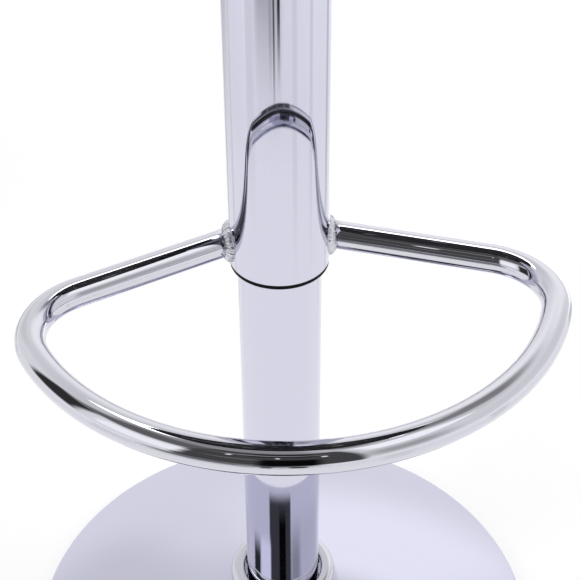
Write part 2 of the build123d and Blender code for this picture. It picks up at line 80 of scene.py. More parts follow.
def full_turn(count):
    """The angles of a whole turn in even steps."""
    return np.linspace(0, 2 * np.pi, count, endpoint=False)


def unit_circle(turn, first, second):
    """A circle at each point of a path: cos a times the first direction plus sin a times the second."""
    return np.cos(turn)[:, None] * first[..., None, :] + np.sin(turn)[:, None] * second[..., None, :]


def unit(vectors):
    """Vectors divided by their own lengths."""
    return vectors / np.linalg.norm(vectors, axis=-1, keepdims=True)


def arc_points(centre, radius, start, end, steps):
    """Points on an arc: centre + radius (cos, sin) of evenly spaced angles."""
    turn = np.linspace(start, end, steps)
    return np.asarray(centre) + radius * points_of(np.cos(turn), np.sin(turn))


def swing(centre, start, end):
    """The angle of start as seen from a centre, and the shorter turn from there to end."""
    first = math.atan2(*(start - centre)[::-1])
    sweep = math.atan2(*(end - centre)[::-1]) - first
    return first, (sweep + math.pi) % (2 * math.pi) - math.pi


def rounded_section(corners, radii, steps=7, guard=0.05):
    """A closed section: each corner turns on an arc of its radius, between guard points on its two sides."""
    corners = np.asarray(corners, dtype=float)
    out = []
    for point, before, after, radius in zip(corners, np.roll(corners, 1, 0), np.roll(corners, -1, 0), radii):
        if radius == 0:
            out.append(point[None])
            continue
        back = unit(before - point)
        ahead = unit(after - point)
        half = np.arccos(np.clip(back @ ahead, -1, 1)) / 2
        centre = point + unit(back + ahead) * radius / math.sin(half)
        start = point + back * radius / math.tan(half)
        end = point + ahead * radius / math.tan(half)
        first, sweep = swing(centre, start, end)
        arc = arc_points(centre, radius, first, first + sweep, steps)
        out += [(start + back * guard)[None], arc, (end + ahead * guard)[None]]
    return np.concatenate(out)


# %% Mesh helpers
JOIN_REACH = 0.001


def grid_faces(rows, columns, close_rows=False, close_columns=True):
    """Quads that join each grid point to the next both ways. A closed way joins its last to its first."""
    row = np.arange(rows if close_rows else rows - 1)[:, None]
    column = np.arange(columns if close_columns else columns - 1)[None, :]
    next_row = (row + 1) % rows
    next_column = (column + 1) % columns
    corners = points_of(row * columns + column, row * columns + next_column,
                        next_row * columns + next_column, next_row * columns + column)
    return corners.reshape(-1, 4)


def spun(section, segments=192):
    """A closed (radius, height) section turned about the column."""
    points = polar(section[:, :1], full_turn(segments), section[:, 1:])
    return points, grid_faces(len(section), segments, close_rows=True)


def new_object(name, data):
    """A new object of this name, put into the scene."""
    item = bpy.data.objects.new(name, data)
    bpy.context.scene.collection.objects.link(item)
    return item


def new_mesh(name, points, faces):
    """A mesh of points in metres, with faces of any number of corners."""
    mesh = bpy.data.meshes.new(name)
    mesh.from_pydata(np.reshape(points, (-1, 3)).tolist(), [], [list(face) for face in faces])
    return mesh


def make_piece(name, points, faces, material, body, slot, stands_for=(), weld=False):
    """Puts points in millimetres and faces into a smooth mesh that rides on a body and stands for CAD nodes.
    Welding joins points that coincide, so that a pole is closed."""
    mesh = new_mesh(name, np.asarray(points) * MM, faces)
    if weld:
        work = bmesh.new()
        work.from_mesh(mesh)
        bmesh.ops.remove_doubles(work, verts=work.verts, dist=JOIN_REACH * MM)
        work.to_mesh(mesh)
        work.free()
    mesh.polygons.foreach_set("use_smooth", np.ones(len(mesh.polygons), dtype=bool))
    mesh.materials.append(material)
    mesh.update()
    piece = new_object(name, mesh)
    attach(piece, body)
    if stands_for:
        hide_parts(*stands_for)
    print(name, len(mesh.vertices), "points", len(mesh.polygons), "faces")
    return piece


def box_mm(node):
    """A node's lowest and highest corner in millimetres."""
    low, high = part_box(node)
    return np.array(low) / MM, np.array(high) / MM


# %% [markdown]
# ## Materials
#
# Every finish starts from the real one. One function turns a written sRGB colour into the linear values that
# the shader wants. One sets a node's sockets and links those that are given another node's output, and one
# adds a node. Each material starts as a Principled shader and the place on the object, which patterns follow.


# %% Colour and node helpers
def srgb(hex_colour, alpha=1.0):
    """A hex sRGB colour as linear red, green, blue and alpha."""
    part = np.array([int(hex_colour[i:i + 2], 16) for i in (1, 3, 5)]) / 255
    linear = np.where(part <= 0.04045, part / 12.92, ((part + 0.055) / 1.055) ** 2.4)
    return (*linear, alpha)


def set_sockets(tree, node, sockets):
    """Sets each named socket of a node, or links it to an output. A node stands for its first output."""
    for name, value in sockets.items():
        if isinstance(value, bpy.types.Node):
            value = value.outputs[0]
        if isinstance(value, bpy.types.NodeSocket):
            tree.links.new(value, node.inputs[name])
        else:
            node.inputs[name].default_value = value


def add_node(tree, kind, sockets=None, **settings):
    """Adds a node with these settings to a tree and sets its sockets."""
    node = tree.nodes.new(kind)
    for name, value in settings.items():
        setattr(node, name, value)
    set_sockets(tree, node, sockets or {})
    return node


def new_material(name, colour, roughness, **sockets):
    """A Principled material with its plain values set, its tree and shader, and the place on the object."""
    material = bpy.data.materials.new(name)
    material.use_nodes = True
    tree = material.node_tree
    shader = tree.nodes["Principled BSDF"]
    set_sockets(tree, shader, {"Base Color": srgb(colour), "Roughness": roughness})
    set_sockets(tree, shader, {socket.replace("_", " "): value for socket, value in sockets.items()})
    return material, tree, shader, add_node(tree, "ShaderNodeTexCoord").outputs["Object"]


def per_mm(size):
    """Texture scale, in repeats per metre, of a pattern whose features are this many millimetres across."""
    return 1 / (size * MM)


# %% [markdown]
# ### Chrome plate
#
# Bright nickel-chrome over polished steel tube. Chromium reflects a little over half of the light and leans
# blue, so white surroundings look pale lavender in it. Plated tube is never optically flat: the polishing
# belt leaves long faint ripples, and handling leaves a film that blurs it a little here and there. The
# footrest, the column and the dish are plated apart, and their tints differ a little.

# %% Chrome
FILM_SIZE = 45.0
RIPPLE_SIZE = 14.0
RIPPLE_DEPTH = 0.6
RIPPLE_STRETCH = (1.0, 1.0, 0.12)


def chrome_plated(name, colour):
    """Mirror-bright plate: a film of uneven roughness, and long upright ripples from the polishing belt."""
    plate, tree, shader, place = new_material(name, colour, 0.03, Metallic=1.0)
    film = add_node(tree, "ShaderNodeTexNoise", {
        "Vector": place, "Scale": per_mm(FILM_SIZE), "Detail": 5.0, "Roughness": 0.6})
    film_range = add_node(tree, "ShaderNodeMapRange", {
        "Value": film, "From Min": 0.35, "From Max": 0.75, "To Min": 0.015, "To Max": 0.07})
    stretch = add_node(tree, "ShaderNodeMapping", {"Vector": place, "Scale": RIPPLE_STRETCH})
    ripple = add_node(tree, "ShaderNodeTexNoise", {
        "Vector": stretch, "Scale": per_mm(RIPPLE_SIZE), "Detail": 2.0})
    bump = add_node(tree, "ShaderNodeBump", {
        "Height": ripple, "Strength": 0.02, "Distance": RIPPLE_DEPTH * MM})
    set_sockets(tree, shader, {"Roughness": film_range, "Normal": bump})
    return plate


chrome = chrome_plated("chrome_on_bent_tube", "#CFCFD8")
column_chrome = chrome_plated("chrome_on_column_tube", "#CFCFDE")
dish_chrome = chrome_plated("chrome_on_spun_steel", "#CFCFE0")
print("chrome:", chrome.name, column_chrome.name, dish_chrome.name)

# %% [markdown]
# ### Weld bead
#
# The bead is plated with the rest but was never polished, so it has the same colour with a dull, pitted skin.

# %% Plated weld
SPATTER_SIZE = 1.5
SPATTER_DEPTH = 0.6
weld_chrome, tree, shader, place = new_material("chrome_over_weld", "#D6D6DE", 0.3, Metallic=1.0)
spatter = add_node(tree, "ShaderNodeTexNoise", {
    "Vector": place, "Scale": per_mm(SPATTER_SIZE), "Detail": 5.0})
spatter_range = add_node(tree, "ShaderNodeMapRange", {"Value": spatter, "To Min": 0.12, "To Max": 0.5})
spatter_bump = add_node(tree, "ShaderNodeBump", {
    "Height": spatter, "Strength": 0.7, "Distance": SPATTER_DEPTH * MM})
set_sockets(tree, shader, {"Roughness": spatter_range, "Normal": spatter_bump})
print("weld:", weld_chrome.name)


# %% [markdown]
# ### Plain finishes
#
# Moulded nylon, rubber, powder coat, cast iron, zinc plate, brass, non-woven cloth and stained plywood differ
# in colour, gloss and in the size of the grain that their making leaves. One function gives each its colour
# mottle, roughness and bump at that size.

# %% Grained finishes
def grained(name, colour, second, roughness, grain_mm, bump_mm, **sockets):
    """A fine-grained finish: noise at the grain's size mixes two colours and drives roughness and bump."""
    material, tree, shader, place = new_material(name, colour, roughness, **sockets)
    grain = add_node(tree, "ShaderNodeTexNoise", {
        "Vector": place, "Scale": per_mm(grain_mm), "Detail": 6.0, "Roughness": 0.6})
    mottle = add_node(tree, "ShaderNodeMix", {"Factor": grain, "A": srgb(colour), "B": srgb(second)},
                      data_type="RGBA")
    gloss = add_node(tree, "ShaderNodeMapRange", {
        "Value": grain, "From Min": 0.3, "From Max": 0.7,
        "To Min": roughness * 0.8, "To Max": roughness * 1.2})
    bump = add_node(tree, "ShaderNodeBump", {"Height": grain, "Strength": 0.6, "Distance": bump_mm * MM})
    set_sockets(tree, shader, {"Base Color": mottle.outputs["Result"], "Roughness": gloss, "Normal": bump})
    print("finish:", name)
    return material


black_nylon = grained("moulded_black_nylon", "#131315", "#1C1C1F", 0.42, 0.9, 0.05, Specular_IOR_Level=0.3)
# painted shade: the bush's nylon is darker and duller than the grip's, for the dark gap under the sleeve
bush_nylon_and_gap_shade = grained("black_nylon_with_painted_gap_shade", "#060607", "#0B0B0C", 0.6, 0.9, 0.05, Specular_IOR_Level=0.1)
floor_rubber = grained("floor_rubber", "#1B1B1C", "#2A2A2B", 0.75, 1.6, 0.12)
powder_coat = grained("black_powder_coat", "#161618", "#232326", 0.48, 0.8, 0.10)
cast_iron = grained("painted_cast_iron", "#242424", "#363636", 0.62, 2.2, 0.30)
zinc_plate = grained("zinc_plated_steel", "#A9ABB0", "#C4C5C8", 0.28, 2.5, 0.03, Metallic=1.0)
turned_brass = grained("turned_brass", "#B8964E", "#CBAA63", 0.25, 1.2, 0.03, Metallic=1.0)
nonwoven = grained("black_nonwoven", "#1A1A1B", "#303032", 0.9, 0.7, 0.25)
stained_ply = grained("black_stained_plywood", "#1E1C1A", "#2C2926", 0.6, 3.0, 0.10)

# %% [markdown]
# ### Synthetic leather
#
# Vinyl-coated fabric embossed with a leather grain: small rounded cells a millimetre or two across, divided
# by fine valleys. Voronoi cells give the islands and a finer noise the pores. The grain is drawn at 2 mm so
# that it shows.

# %% Leather
LEATHER_CELL = 2.0
LEATHER_PORE = 0.6
LEATHER_DEPTH = 0.16
WANDER_SIZE = 4.0
WANDER_SHIFT = 1.2
leather, tree, shader, place = new_material("grained_black_vinyl", "#1B1B1E", 0.42, Specular_IOR_Level=0.35)
wander = add_node(tree, "ShaderNodeTexNoise", {"Vector": place, "Scale": per_mm(WANDER_SIZE), "Detail": 3.0})
shifted = add_node(tree, "ShaderNodeVectorMath", {
    0: wander.outputs["Color"], 1: (WANDER_SHIFT * MM,) * 3, 2: place}, operation="MULTIPLY_ADD")
cells = add_node(tree, "ShaderNodeTexVoronoi", {"Vector": shifted, "Scale": per_mm(LEATHER_CELL)},
                 feature="DISTANCE_TO_EDGE")
valley = add_node(tree, "ShaderNodeMapRange", {"Value": cells, "From Max": 0.16})
pores = add_node(tree, "ShaderNodeTexNoise", {"Vector": place, "Scale": per_mm(LEATHER_PORE), "Detail": 3.0})
pebble = add_node(tree, "ShaderNodeMath", {0: valley, 1: 1.6, 2: pores}, operation="MULTIPLY_ADD")
pebble_bump = add_node(tree, "ShaderNodeBump", {
    "Height": pebble, "Strength": 0.45, "Distance": LEATHER_DEPTH * MM})
sheen = add_node(tree, "ShaderNodeMapRange", {"Value": valley, "To Min": 0.58, "To Max": 0.36})
dye = add_node(tree, "ShaderNodeMix", {"Factor": wander, "A": srgb("#0F0F11"), "B": srgb("#1C1C20")},
               data_type="RGBA")
set_sockets(tree, shader, {"Base Color": dye.outputs["Result"], "Roughness": sheen, "Normal": pebble_bump})
print("cover:", leather.name)

# %% [markdown]
# ## Column and sleeve
#
# Two chromed tubes. The CAD nodes have the right size, but their facets would break a mirror reflection, so
# each is spun again with close steps and rounded, burnished ends. The lip of a thin black nylon bush shows
# under the sleeve as a line. It is drawn a little fuller than in the CAD, to reach the edge of the sleeve,
# and
# its nylon is made near black and dull: painted shade for the dark gap under the sleeve.

# %% Tubes
TUBE_EDGE = 0.5
EDGE_SHARE = 0.45
SLEEVE_WALL = 1.2
COLUMN_WALL = 2.0


def tube_section(node, wall):
    """The section of an upright tube that fills a node's box: outer wall up, inner wall down."""
    low, high = box_mm(node)
    outer = high[0]
    inner = outer - wall
    corners = [(outer, low[2]), (outer, high[2]), (inner, high[2]), (inner, low[2])]
    return rounded_section(corners, [min(TUBE_EDGE, wall * EDGE_SHARE)] * 4)


make_piece("sleeve_skin", *spun(tube_section("sleeve", SLEEVE_WALL)), column_chrome, "carriage", "chrome",
           ["sleeve"])
make_piece("column_skin", *spun(tube_section("column_tube", COLUMN_WALL)), column_chrome, "base", "chrome",
           ["column_tube"])

# %% Bush
BUSH_GAP = 0.1
BUSH_FIT = 0.05
BUSH_SEAT = 0.02
BUSH_LIP_INSET = 0.3
BUSH_LIP_DROP = 0.5
BUSH_LIP_ROUND = 0.15
BUSH_ROUND = 0.4
BUSH_LEAD_IN = 0.5
bush_low, bush_high = box_mm("sleeve_bush")
column_radius = box_mm("column_tube")[1][0]
sleeve_radius = box_mm("sleeve")[1][0]
sleeve_foot = box_mm("sleeve")[0][2]
bush_bore = column_radius + BUSH_GAP
bush_body = sleeve_radius - SLEEVE_WALL - BUSH_FIT
bush_lip = sleeve_radius - BUSH_LIP_INSET
bush_foot = bush_low[2] - BUSH_LIP_DROP
bush_seat = sleeve_foot - BUSH_SEAT
bush_section = rounded_section(
    [(bush_lip, bush_foot), (bush_lip, bush_seat), (bush_body, bush_seat),
     (bush_body, bush_high[2]), (bush_bore, bush_high[2]), (bush_bore, bush_foot)],
    [BUSH_LIP_ROUND, BUSH_LIP_ROUND, 0, BUSH_ROUND, BUSH_ROUND, BUSH_LEAD_IN])
make_piece("sleeve_bush_ring", *spun(bush_section), bush_nylon_and_gap_shade, "carriage", "black_nylon", ["sleeve_bush"])

# %% [markdown]
# ## Base
#
# A dish spun from steel sheet and chromed. In section it is one shallow arc from a rolled edge up to a flat
# landing, where a trim collar hides the hole round the column. A rubber ring inside the hem keeps it off the
# floor.

# %% Base curve
BASE_WALL = 1.5
BASE_EDGE_HEIGHT = 8.5
BASE_EDGE_ROUND = 3.0
BASE_BULGE = 4.0
LANDING_MARGIN = 1.0
base_low, base_high = box_mm("base_cover")
collar_low, collar_high = box_mm("base_collar")
base_radius = round(base_high[0])
landing_radius = collar_high[0] + LANDING_MARGIN
dome_run = base_radius - landing_radius
dome_rise = base_high[2] - BASE_EDGE_HEIGHT
dome_chord = math.hypot(dome_run, dome_rise)
dome_radius = (dome_chord ** 2 / 4 + BASE_BULGE ** 2) / (2 * BASE_BULGE)
dome_drop = dome_radius - BASE_BULGE
dome_centre = np.array([(base_radius + landing_radius) / 2 - dome_drop * dome_rise / dome_chord,
                        (BASE_EDGE_HEIGHT + base_high[2]) / 2 - dome_drop * dome_run / dome_chord])


def dome_height(radius, depth=0.0):
    """Height of the dish at a radius: a circle about the dome's centre, less the depth below its outside."""
    return dome_centre[1] + np.sqrt((dome_radius - depth) ** 2 - (radius - dome_centre[0]) ** 2)


print("dome radius", round(dome_radius, 1), "landing radius", round(landing_radius, 1))

# %% Base dish
BASE_EDGE_WIDTH = 5.0
HEM_ROUND = 0.5
HOLE_ROUND = 0.3
LANDING_OVERLAP = 3.0
COLUMN_GAP = 0.5
OUTER_STEPS, INNER_STEPS = 60, 40
DISH_SEGMENTS = 256
outer_steps = np.linspace(base_radius - BASE_EDGE_WIDTH, landing_radius, OUTER_STEPS)
outer_dome = points_of(outer_steps, dome_height(outer_steps))
inner_steps = np.linspace(landing_radius - LANDING_OVERLAP, base_radius - BASE_WALL, INNER_STEPS)
landing_under = base_high[2] - BASE_WALL
inner_dome = points_of(inner_steps, np.minimum(dome_height(inner_steps, BASE_WALL), landing_under))
cover_hole = column_radius + COLUMN_GAP
dish_corners = np.concatenate([
    [(base_radius, base_low[2]), (base_radius, BASE_EDGE_HEIGHT)], outer_dome,
    [(cover_hole, base_high[2]), (cover_hole, landing_under)], inner_dome,
    [(base_radius - BASE_WALL, base_low[2])]])
dish_radii = ([HEM_ROUND, BASE_EDGE_ROUND] + [0] * len(outer_dome) + [HOLE_ROUND] * 2
              + [0] * len(inner_dome) + [HEM_ROUND])
dish_section = rounded_section(dish_corners, dish_radii, steps=10)
make_piece("base_dish", *spun(dish_section, DISH_SEGMENTS), dish_chrome, "base", "chrome", ["base_cover"])

# %% Collar
COLLAR_GAP = 2.0
COLLAR_ROUND = 5.0
COLLAR_INNER_ROUND = 2.0
collar_bore = column_radius + COLLAR_GAP
collar_section = rounded_section(
    [(collar_high[0], collar_low[2]), (collar_high[0], collar_high[2]), (collar_bore, collar_high[2]),
     (collar_bore, collar_low[2])],
    [HEM_ROUND, COLLAR_ROUND, COLLAR_INNER_ROUND, HOLE_ROUND], steps=16)
make_piece("collar_ring", *spun(collar_section), chrome, "base", "chrome", ["base_collar"])

# %% Floor ring
RING_RIBS = 4
RING_WIDTH = 18.0
RIB_DEPTH = 0.8
RIB_ROUND = 0.3
ring_low, ring_high = box_mm("floor_ring")
ring_outer = ring_high[0]
ring_inner = ring_outer - RING_WIDTH
rib_lands = 2 * RING_RIBS + 1
rib_edges = ring_inner + RING_WIDTH / rib_lands * np.arange(rib_lands + 1)
rib_levels = np.where(np.arange(rib_lands) % 2 == 0, ring_low[2], ring_low[2] + RIB_DEPTH)
rib_line = points_of(np.repeat(rib_edges, 2)[1:-1], np.repeat(rib_levels, 2))
ring_corners = np.concatenate([rib_line, [(ring_outer, ring_high[2]), (ring_inner, ring_high[2])]])
ring_section = rounded_section(ring_corners, [RIB_ROUND] * len(ring_corners), steps=3)
make_piece("floor_ring_ribbed", *spun(ring_section), floor_rubber, "base", "rubber", ["floor_ring"])

# %% [markdown]
# ## Footrest
#
# One length of round tube, bent into a loop and welded to the sleeve's two sides: straight arms, tight bends
# and one long front arc. The loop lies in a plane that rises a little to the front. A circle carried along
# that path gives the tube, and each end ring is slid along its arm until it lies on the sleeve, as a fitter
# copes the tube.

# %% Footrest path
FOOT_TUBE = 8.5
FOOT_ABOVE_RIM = 12.3
FOOT_TILT = math.radians(2.0)
FOOT_REACH = 191.0
FOOT_FRONT = 152.5
FOOT_BEND = 43.5
FOOT_ARM = math.radians(23.8)
FOOT_WELD_BACK = 2.4
ARM_STEPS, BEND_STEPS, FRONT_STEPS = 12, 40, 70
arm_slope = math.tan(FOOT_ARM)
arm_centre = FOOT_WELD_BACK + arm_slope * sleeve_radius
front_centre = FOOT_FRONT - FOOT_REACH
bend_offset = arm_centre - FOOT_BEND / math.cos(FOOT_ARM) - front_centre
bend_link = FOOT_FRONT - FOOT_BEND
bend_stretch = 1 + arm_slope ** 2
bend_root = math.sqrt((bend_offset * arm_slope) ** 2 - bend_stretch * (bend_offset ** 2 - bend_link ** 2))
bend_x = (bend_offset * arm_slope + bend_root) / bend_stretch
bend_y = front_centre + bend_offset - arm_slope * bend_x
bend_exit = math.atan2(bend_y - front_centre, bend_x)
arm_x = np.linspace(sleeve_radius, bend_x + FOOT_BEND * math.sin(FOOT_ARM), ARM_STEPS)
half_path = np.concatenate([
    points_of(arm_x, arm_centre - arm_slope * arm_x),
    arc_points((bend_x, bend_y), FOOT_BEND, math.pi / 2 - FOOT_ARM, bend_exit, BEND_STEPS)[1:],
    arc_points((0, front_centre), FOOT_FRONT, bend_exit, -math.pi / 2, FRONT_STEPS)[1:]])
flat_path = np.concatenate([half_path, (half_path * [-1, 1])[-2::-1]])
foot_side = np.array([1.0, 0.0, 0.0])
foot_back = np.array([0.0, math.cos(FOOT_TILT), -math.sin(FOOT_TILT)])
foot_up = np.array([0.0, math.sin(FOOT_TILT), math.cos(FOOT_TILT)])
foot_origin = np.array([0, 0, sleeve_foot + FOOT_ABOVE_RIM])
foot_path = foot_origin + flat_path[:, :1] * foot_side + flat_path[:, 1:] * foot_back
print("footrest half width", round(bend_x + FOOT_BEND, 1), "path points", len(foot_path))

# %% Footrest tube
FOOT_SEGMENTS = 64


def tangents(path):
    """Unit direction along a path, from the points before and after each one."""
    return unit(np.gradient(path, axis=0))


def onto_sleeve(points, direction, radius):
    """Slides points along a direction until they lie on the upright cylinder of that radius."""
    a = direction[0] ** 2 + direction[1] ** 2
    b = points[:, 0] * direction[0] + points[:, 1] * direction[1]
    c = points[:, 0] ** 2 + points[:, 1] ** 2 - radius ** 2
    return points + ((-b + np.sqrt(b ** 2 - a * c)) / a)[:, None] * direction


foot_along = tangents(foot_path)
foot_along[0] = foot_along[1]
foot_along[-1] = foot_along[-2]
foot_out = np.cross(foot_along, foot_up)
rings = foot_path[:, None] + FOOT_TUBE * unit_circle(full_turn(FOOT_SEGMENTS), foot_out, foot_up)
rings[0] = onto_sleeve(rings[0], foot_along[0], sleeve_radius)
rings[-1] = onto_sleeve(rings[-1], -foot_along[-1], sleeve_radius)
foot_points = np.concatenate([rings.reshape(-1, 3), rings[[0, -1]].mean(axis=1)])
last_ring = (len(rings) - 1) * FOOT_SEGMENTS
hub = len(foot_points) - 2
spoke = np.arange(FOOT_SEGMENTS)
next_spoke = (spoke + 1) % FOOT_SEGMENTS
foot_faces = grid_faces(len(rings), FOOT_SEGMENTS)[:, ::-1].tolist()
foot_faces += points_of(spoke, next_spoke, hub).tolist()
foot_faces += points_of(last_ring + next_spoke, last_ring + spoke, hub + 1).tolist()
make_piece("footrest_tube", foot_points, foot_faces, chrome, "carriage", "chrome", ["footrest"])

# %% [markdown]
# The weld is a row of puddles that froze one after the other, so the bead follows the coped ring as a small
# circle whose radius swells at each puddle and falls off to the next, with a lumpy skin.

# %% Weld beads
BEAD_RADIUS = 3.2
BEAD_PUDDLES = 19
BEAD_STEPS = 230
BEAD_SEGMENTS = 24
BEAD_STRETCH = 1.3
BEAD_SINK = 0.3
BEAD_LUMP = 0.14
PUDDLE_SWELL = 0.5
PUDDLE_FALL = 1.5
PUDDLE_SPREAD = 0.5
rng = np.random.default_rng(7)
bead_turn = full_turn(BEAD_STEPS)


def weld_bead(ring_centre, direction, out):
    """A bead round the tube's foot: a circle on the coped line, set to the bisector of tube and sleeve."""
    radial = unit_circle(bead_turn, out, foot_up)
    seat = onto_sleeve(ring_centre + FOOT_TUBE * radial, direction, sleeve_radius)
    bisector = unit(radial + unit(seat * [1, 1, 0]))
    across = np.cross(unit(np.roll(seat, -1, 0) - np.roll(seat, 1, 0)), bisector)
    phase = bead_turn * BEAD_PUDDLES / (2 * np.pi)
    puddle = 1 - (phase % 1) ** PUDDLE_FALL
    uneven = rng.uniform(-PUDDLE_SPREAD, PUDDLE_SPREAD, BEAD_PUDDLES)
    jitter = np.interp(phase % BEAD_PUDDLES, np.arange(BEAD_PUDDLES + 1), np.append(uneven, uneven[0]))
    lumps = rng.normal(0, BEAD_LUMP, (BEAD_STEPS, BEAD_SEGMENTS))
    lumps = sum(np.roll(np.roll(lumps, i, 0), j, 1) for i in (-1, 0, 1) for j in (-1, 0, 1)) / 3
    size = (BEAD_RADIUS + PUDDLE_SWELL * puddle + jitter)[:, None] + lumps
    section = unit_circle(full_turn(BEAD_SEGMENTS), bisector, BEAD_STRETCH * across)
    points = seat[:, None] + size[..., None] * section - BEAD_SINK * bisector[:, None]
    return points.reshape(-1, 3)


bead_points = np.concatenate([weld_bead(foot_path[0], foot_along[0], foot_out[0]),
                              weld_bead(foot_path[-1], -foot_along[-1], foot_out[-1])])
bead_faces = grid_faces(BEAD_STEPS, BEAD_SEGMENTS, close_rows=True)
bead_faces = np.concatenate([bead_faces, bead_faces + BEAD_STEPS * BEAD_SEGMENTS])
make_piece("footrest_weld_beads", bead_points, bead_faces, weld_chrome, "carriage", "chrome",
           ["footrest_welds"])

# %% [markdown]
# ## Lift lever
#
# A bent chromed rod with a ribbed nylon grip. Raising the grip presses the inner end on the gas valve. The
# rod is a circle carried along two straights and a bend; the grip is a ribbed section spun about the rod's
# outer end.


# %% Lever helpers
def swept_rod(path, side, radius, end_round, segments=32, end_steps=5):
    """A circle carried along a path in one plane. Its ends round in to a flat and close at the middle."""
    along = tangents(path)
    up = np.cross(along, side)
    quarter = np.linspace(0, math.pi / 2, end_steps)
    inset = end_round * (1 - np.cos(quarter))
    rise = end_round * np.sin(quarter)
    start = path[0] + along[0] * (end_round - rise[::-1, None])
    finish = path[-1] - along[-1] * (end_round - rise[:, None])
    centres = np.concatenate([path[:1], start, path[1:-1], finish, path[-1:]])
    spans = np.concatenate([[0], radius - inset[::-1], np.full(len(path) - 2, radius), radius - inset, [0]])
    ups = np.concatenate([up[[0] * (end_steps + 1)], up[1:-1], up[[-1] * (end_steps + 1)]])
    points = centres[:, None] + spans[:, None, None] * unit_circle(full_turn(segments), side, ups)
    return points.reshape(-1, 3), grid_faces(len(centres), segments)


def prism(section, low, high):
    """A closed (x, z) section carried along y from low to high, with a flat face at each end."""
    count = len(section)
    ends = [points_of(section[:, 0], y, section[:, 1]) for y in (low, high)]
    caps = [list(range(count))[::-1], list(range(count, 2 * count))]
    return np.concatenate(ends), grid_faces(2, count).tolist() + caps


# %% Lever rod
LEVER_ROD = 4.0
LEVER_ROD_END = 1.0
LEVER_DIVE = math.radians(14.0)
LEVER_BEND = 12.0
LEVER_KNEE_X = -42.0
LEVER_TIP_X = -178.0
LEVER_BLOCK = (12.0, 11.0, 10.0)
LEVER_BLOCK_ROUND = 1.2
LEVER_PIVOT_X = -28.0
KNEE_STEPS = 10
lever_side = np.array([0.0, 1.0, 0.0])
lever_end_x = box_mm("lever_rod")[1][0]
lever_height = (box_mm("lever_pin")[0][2] + box_mm("lever_pin")[1][2]) / 2
knee_turn = np.linspace(0, LEVER_DIVE, KNEE_STEPS)
knee_start_x = LEVER_KNEE_X + LEVER_BEND * math.tan(LEVER_DIVE / 2)
knee = points_of(knee_start_x - LEVER_BEND * np.sin(knee_turn),
                 lever_height - LEVER_BEND * (1 - np.cos(knee_turn)))
lever_tip = np.array([LEVER_TIP_X, lever_height - (LEVER_KNEE_X - LEVER_TIP_X) * math.tan(LEVER_DIVE)])
lever_line = np.concatenate([[(lever_end_x, lever_height)], knee, [lever_tip]])
lever_path = points_of(lever_line[:, 0], 0, lever_line[:, 1])
rod_points, rod_faces = swept_rod(lever_path, lever_side, LEVER_ROD, LEVER_ROD_END)
block_half = np.array(LEVER_BLOCK) / 2
square = np.array([(-1, -1), (1, -1), (1, 1), (-1, 1)])
block_corners = square * block_half[[0, 2]] + [LEVER_PIVOT_X, lever_height]
block_points, block_faces = prism(rounded_section(block_corners, [LEVER_BLOCK_ROUND] * 4),
                                  -block_half[1], block_half[1])
lever_faces = rod_faces.tolist() + [[index + len(rod_points) for index in face] for face in block_faces]
make_piece("lever_bar", np.concatenate([rod_points, block_points]), lever_faces, chrome, "lever", "chrome",
           ["lever_rod"], weld=True)

# %% Lever grip
GRIP_RADIUS = 7.0
GRIP_LENGTH = 46.0
GRIP_END = 3.0
GRIP_ROUND = 2.2
GRIP_WAIST = 0.5
GRIP_PLAIN = 8.0
GRIP_RIBS = 7
GRIP_RIB_DEPTH = 0.7
GRIP_RIB_FADE = 2.0
GRIP_RIB_GAIN, GRIP_RIB_CUT = 1.6, 0.3
GRIP_FIT = 0.05
GRIP_STEPS = 180
GRIP_SEGMENTS = 64
grip_axis = np.array([-math.cos(LEVER_DIVE), 0, -math.sin(LEVER_DIVE)])
grip_tip = np.array([lever_tip[0], 0, lever_tip[1]]) + grip_axis * GRIP_END
along_grip = np.linspace(0, GRIP_LENGTH, GRIP_STEPS)
from_end = np.minimum(along_grip, GRIP_LENGTH - along_grip)
rib_zone = np.clip((from_end - GRIP_PLAIN) / GRIP_RIB_FADE, 0, 1)
rib_share = (along_grip - GRIP_PLAIN) / (GRIP_LENGTH - 2 * GRIP_PLAIN)
rib_wave = np.clip(GRIP_RIB_GAIN * np.sin(np.pi * GRIP_RIBS * rib_share) ** 2 - GRIP_RIB_CUT, 0, 1)
waist = GRIP_WAIST * np.sin(np.pi * along_grip / GRIP_LENGTH)
to_end = np.clip(1 - from_end / GRIP_ROUND, 0, 1)
end_round = GRIP_ROUND * (1 - np.sqrt(1 - to_end ** 2))
grip_span = GRIP_RADIUS - waist - GRIP_RIB_DEPTH * rib_zone * rib_wave - end_round
grip_bore = LEVER_ROD + GRIP_FIT
grip_profile = np.concatenate([
    [(0, 0)], points_of(grip_span, along_grip),
    [(grip_bore, GRIP_LENGTH), (grip_bore, GRIP_END), (0, GRIP_END)]])
grip_circle = unit_circle(full_turn(GRIP_SEGMENTS), lever_side, np.cross(grip_axis, lever_side))
grip_points = grip_tip - grip_profile[:, 1:, None] * grip_axis + grip_profile[:, :1, None] * grip_circle
make_piece("lever_grip_ribbed", grip_points, grid_faces(len(grip_profile), GRIP_SEGMENTS, close_rows=True),
           black_nylon, "lever", "black_nylon", ["lever_grip"], weld=True)

# %% [markdown]
# ## Seat cushion
#
# Foam under a vinyl cover: a crowned top panel and a side band, sewn together with piping in the seam, and
# pulled down over the edge of a plywood board. A polar grid would crowd its points at the middle, so the
# cover is a square grid laid on a disc: each square ring becomes a circle, and one ring lies exactly in the
# seam. The grid starts a few millimetres small, and a cloth simulation blows it up against the fixed seam,
# as foam does.

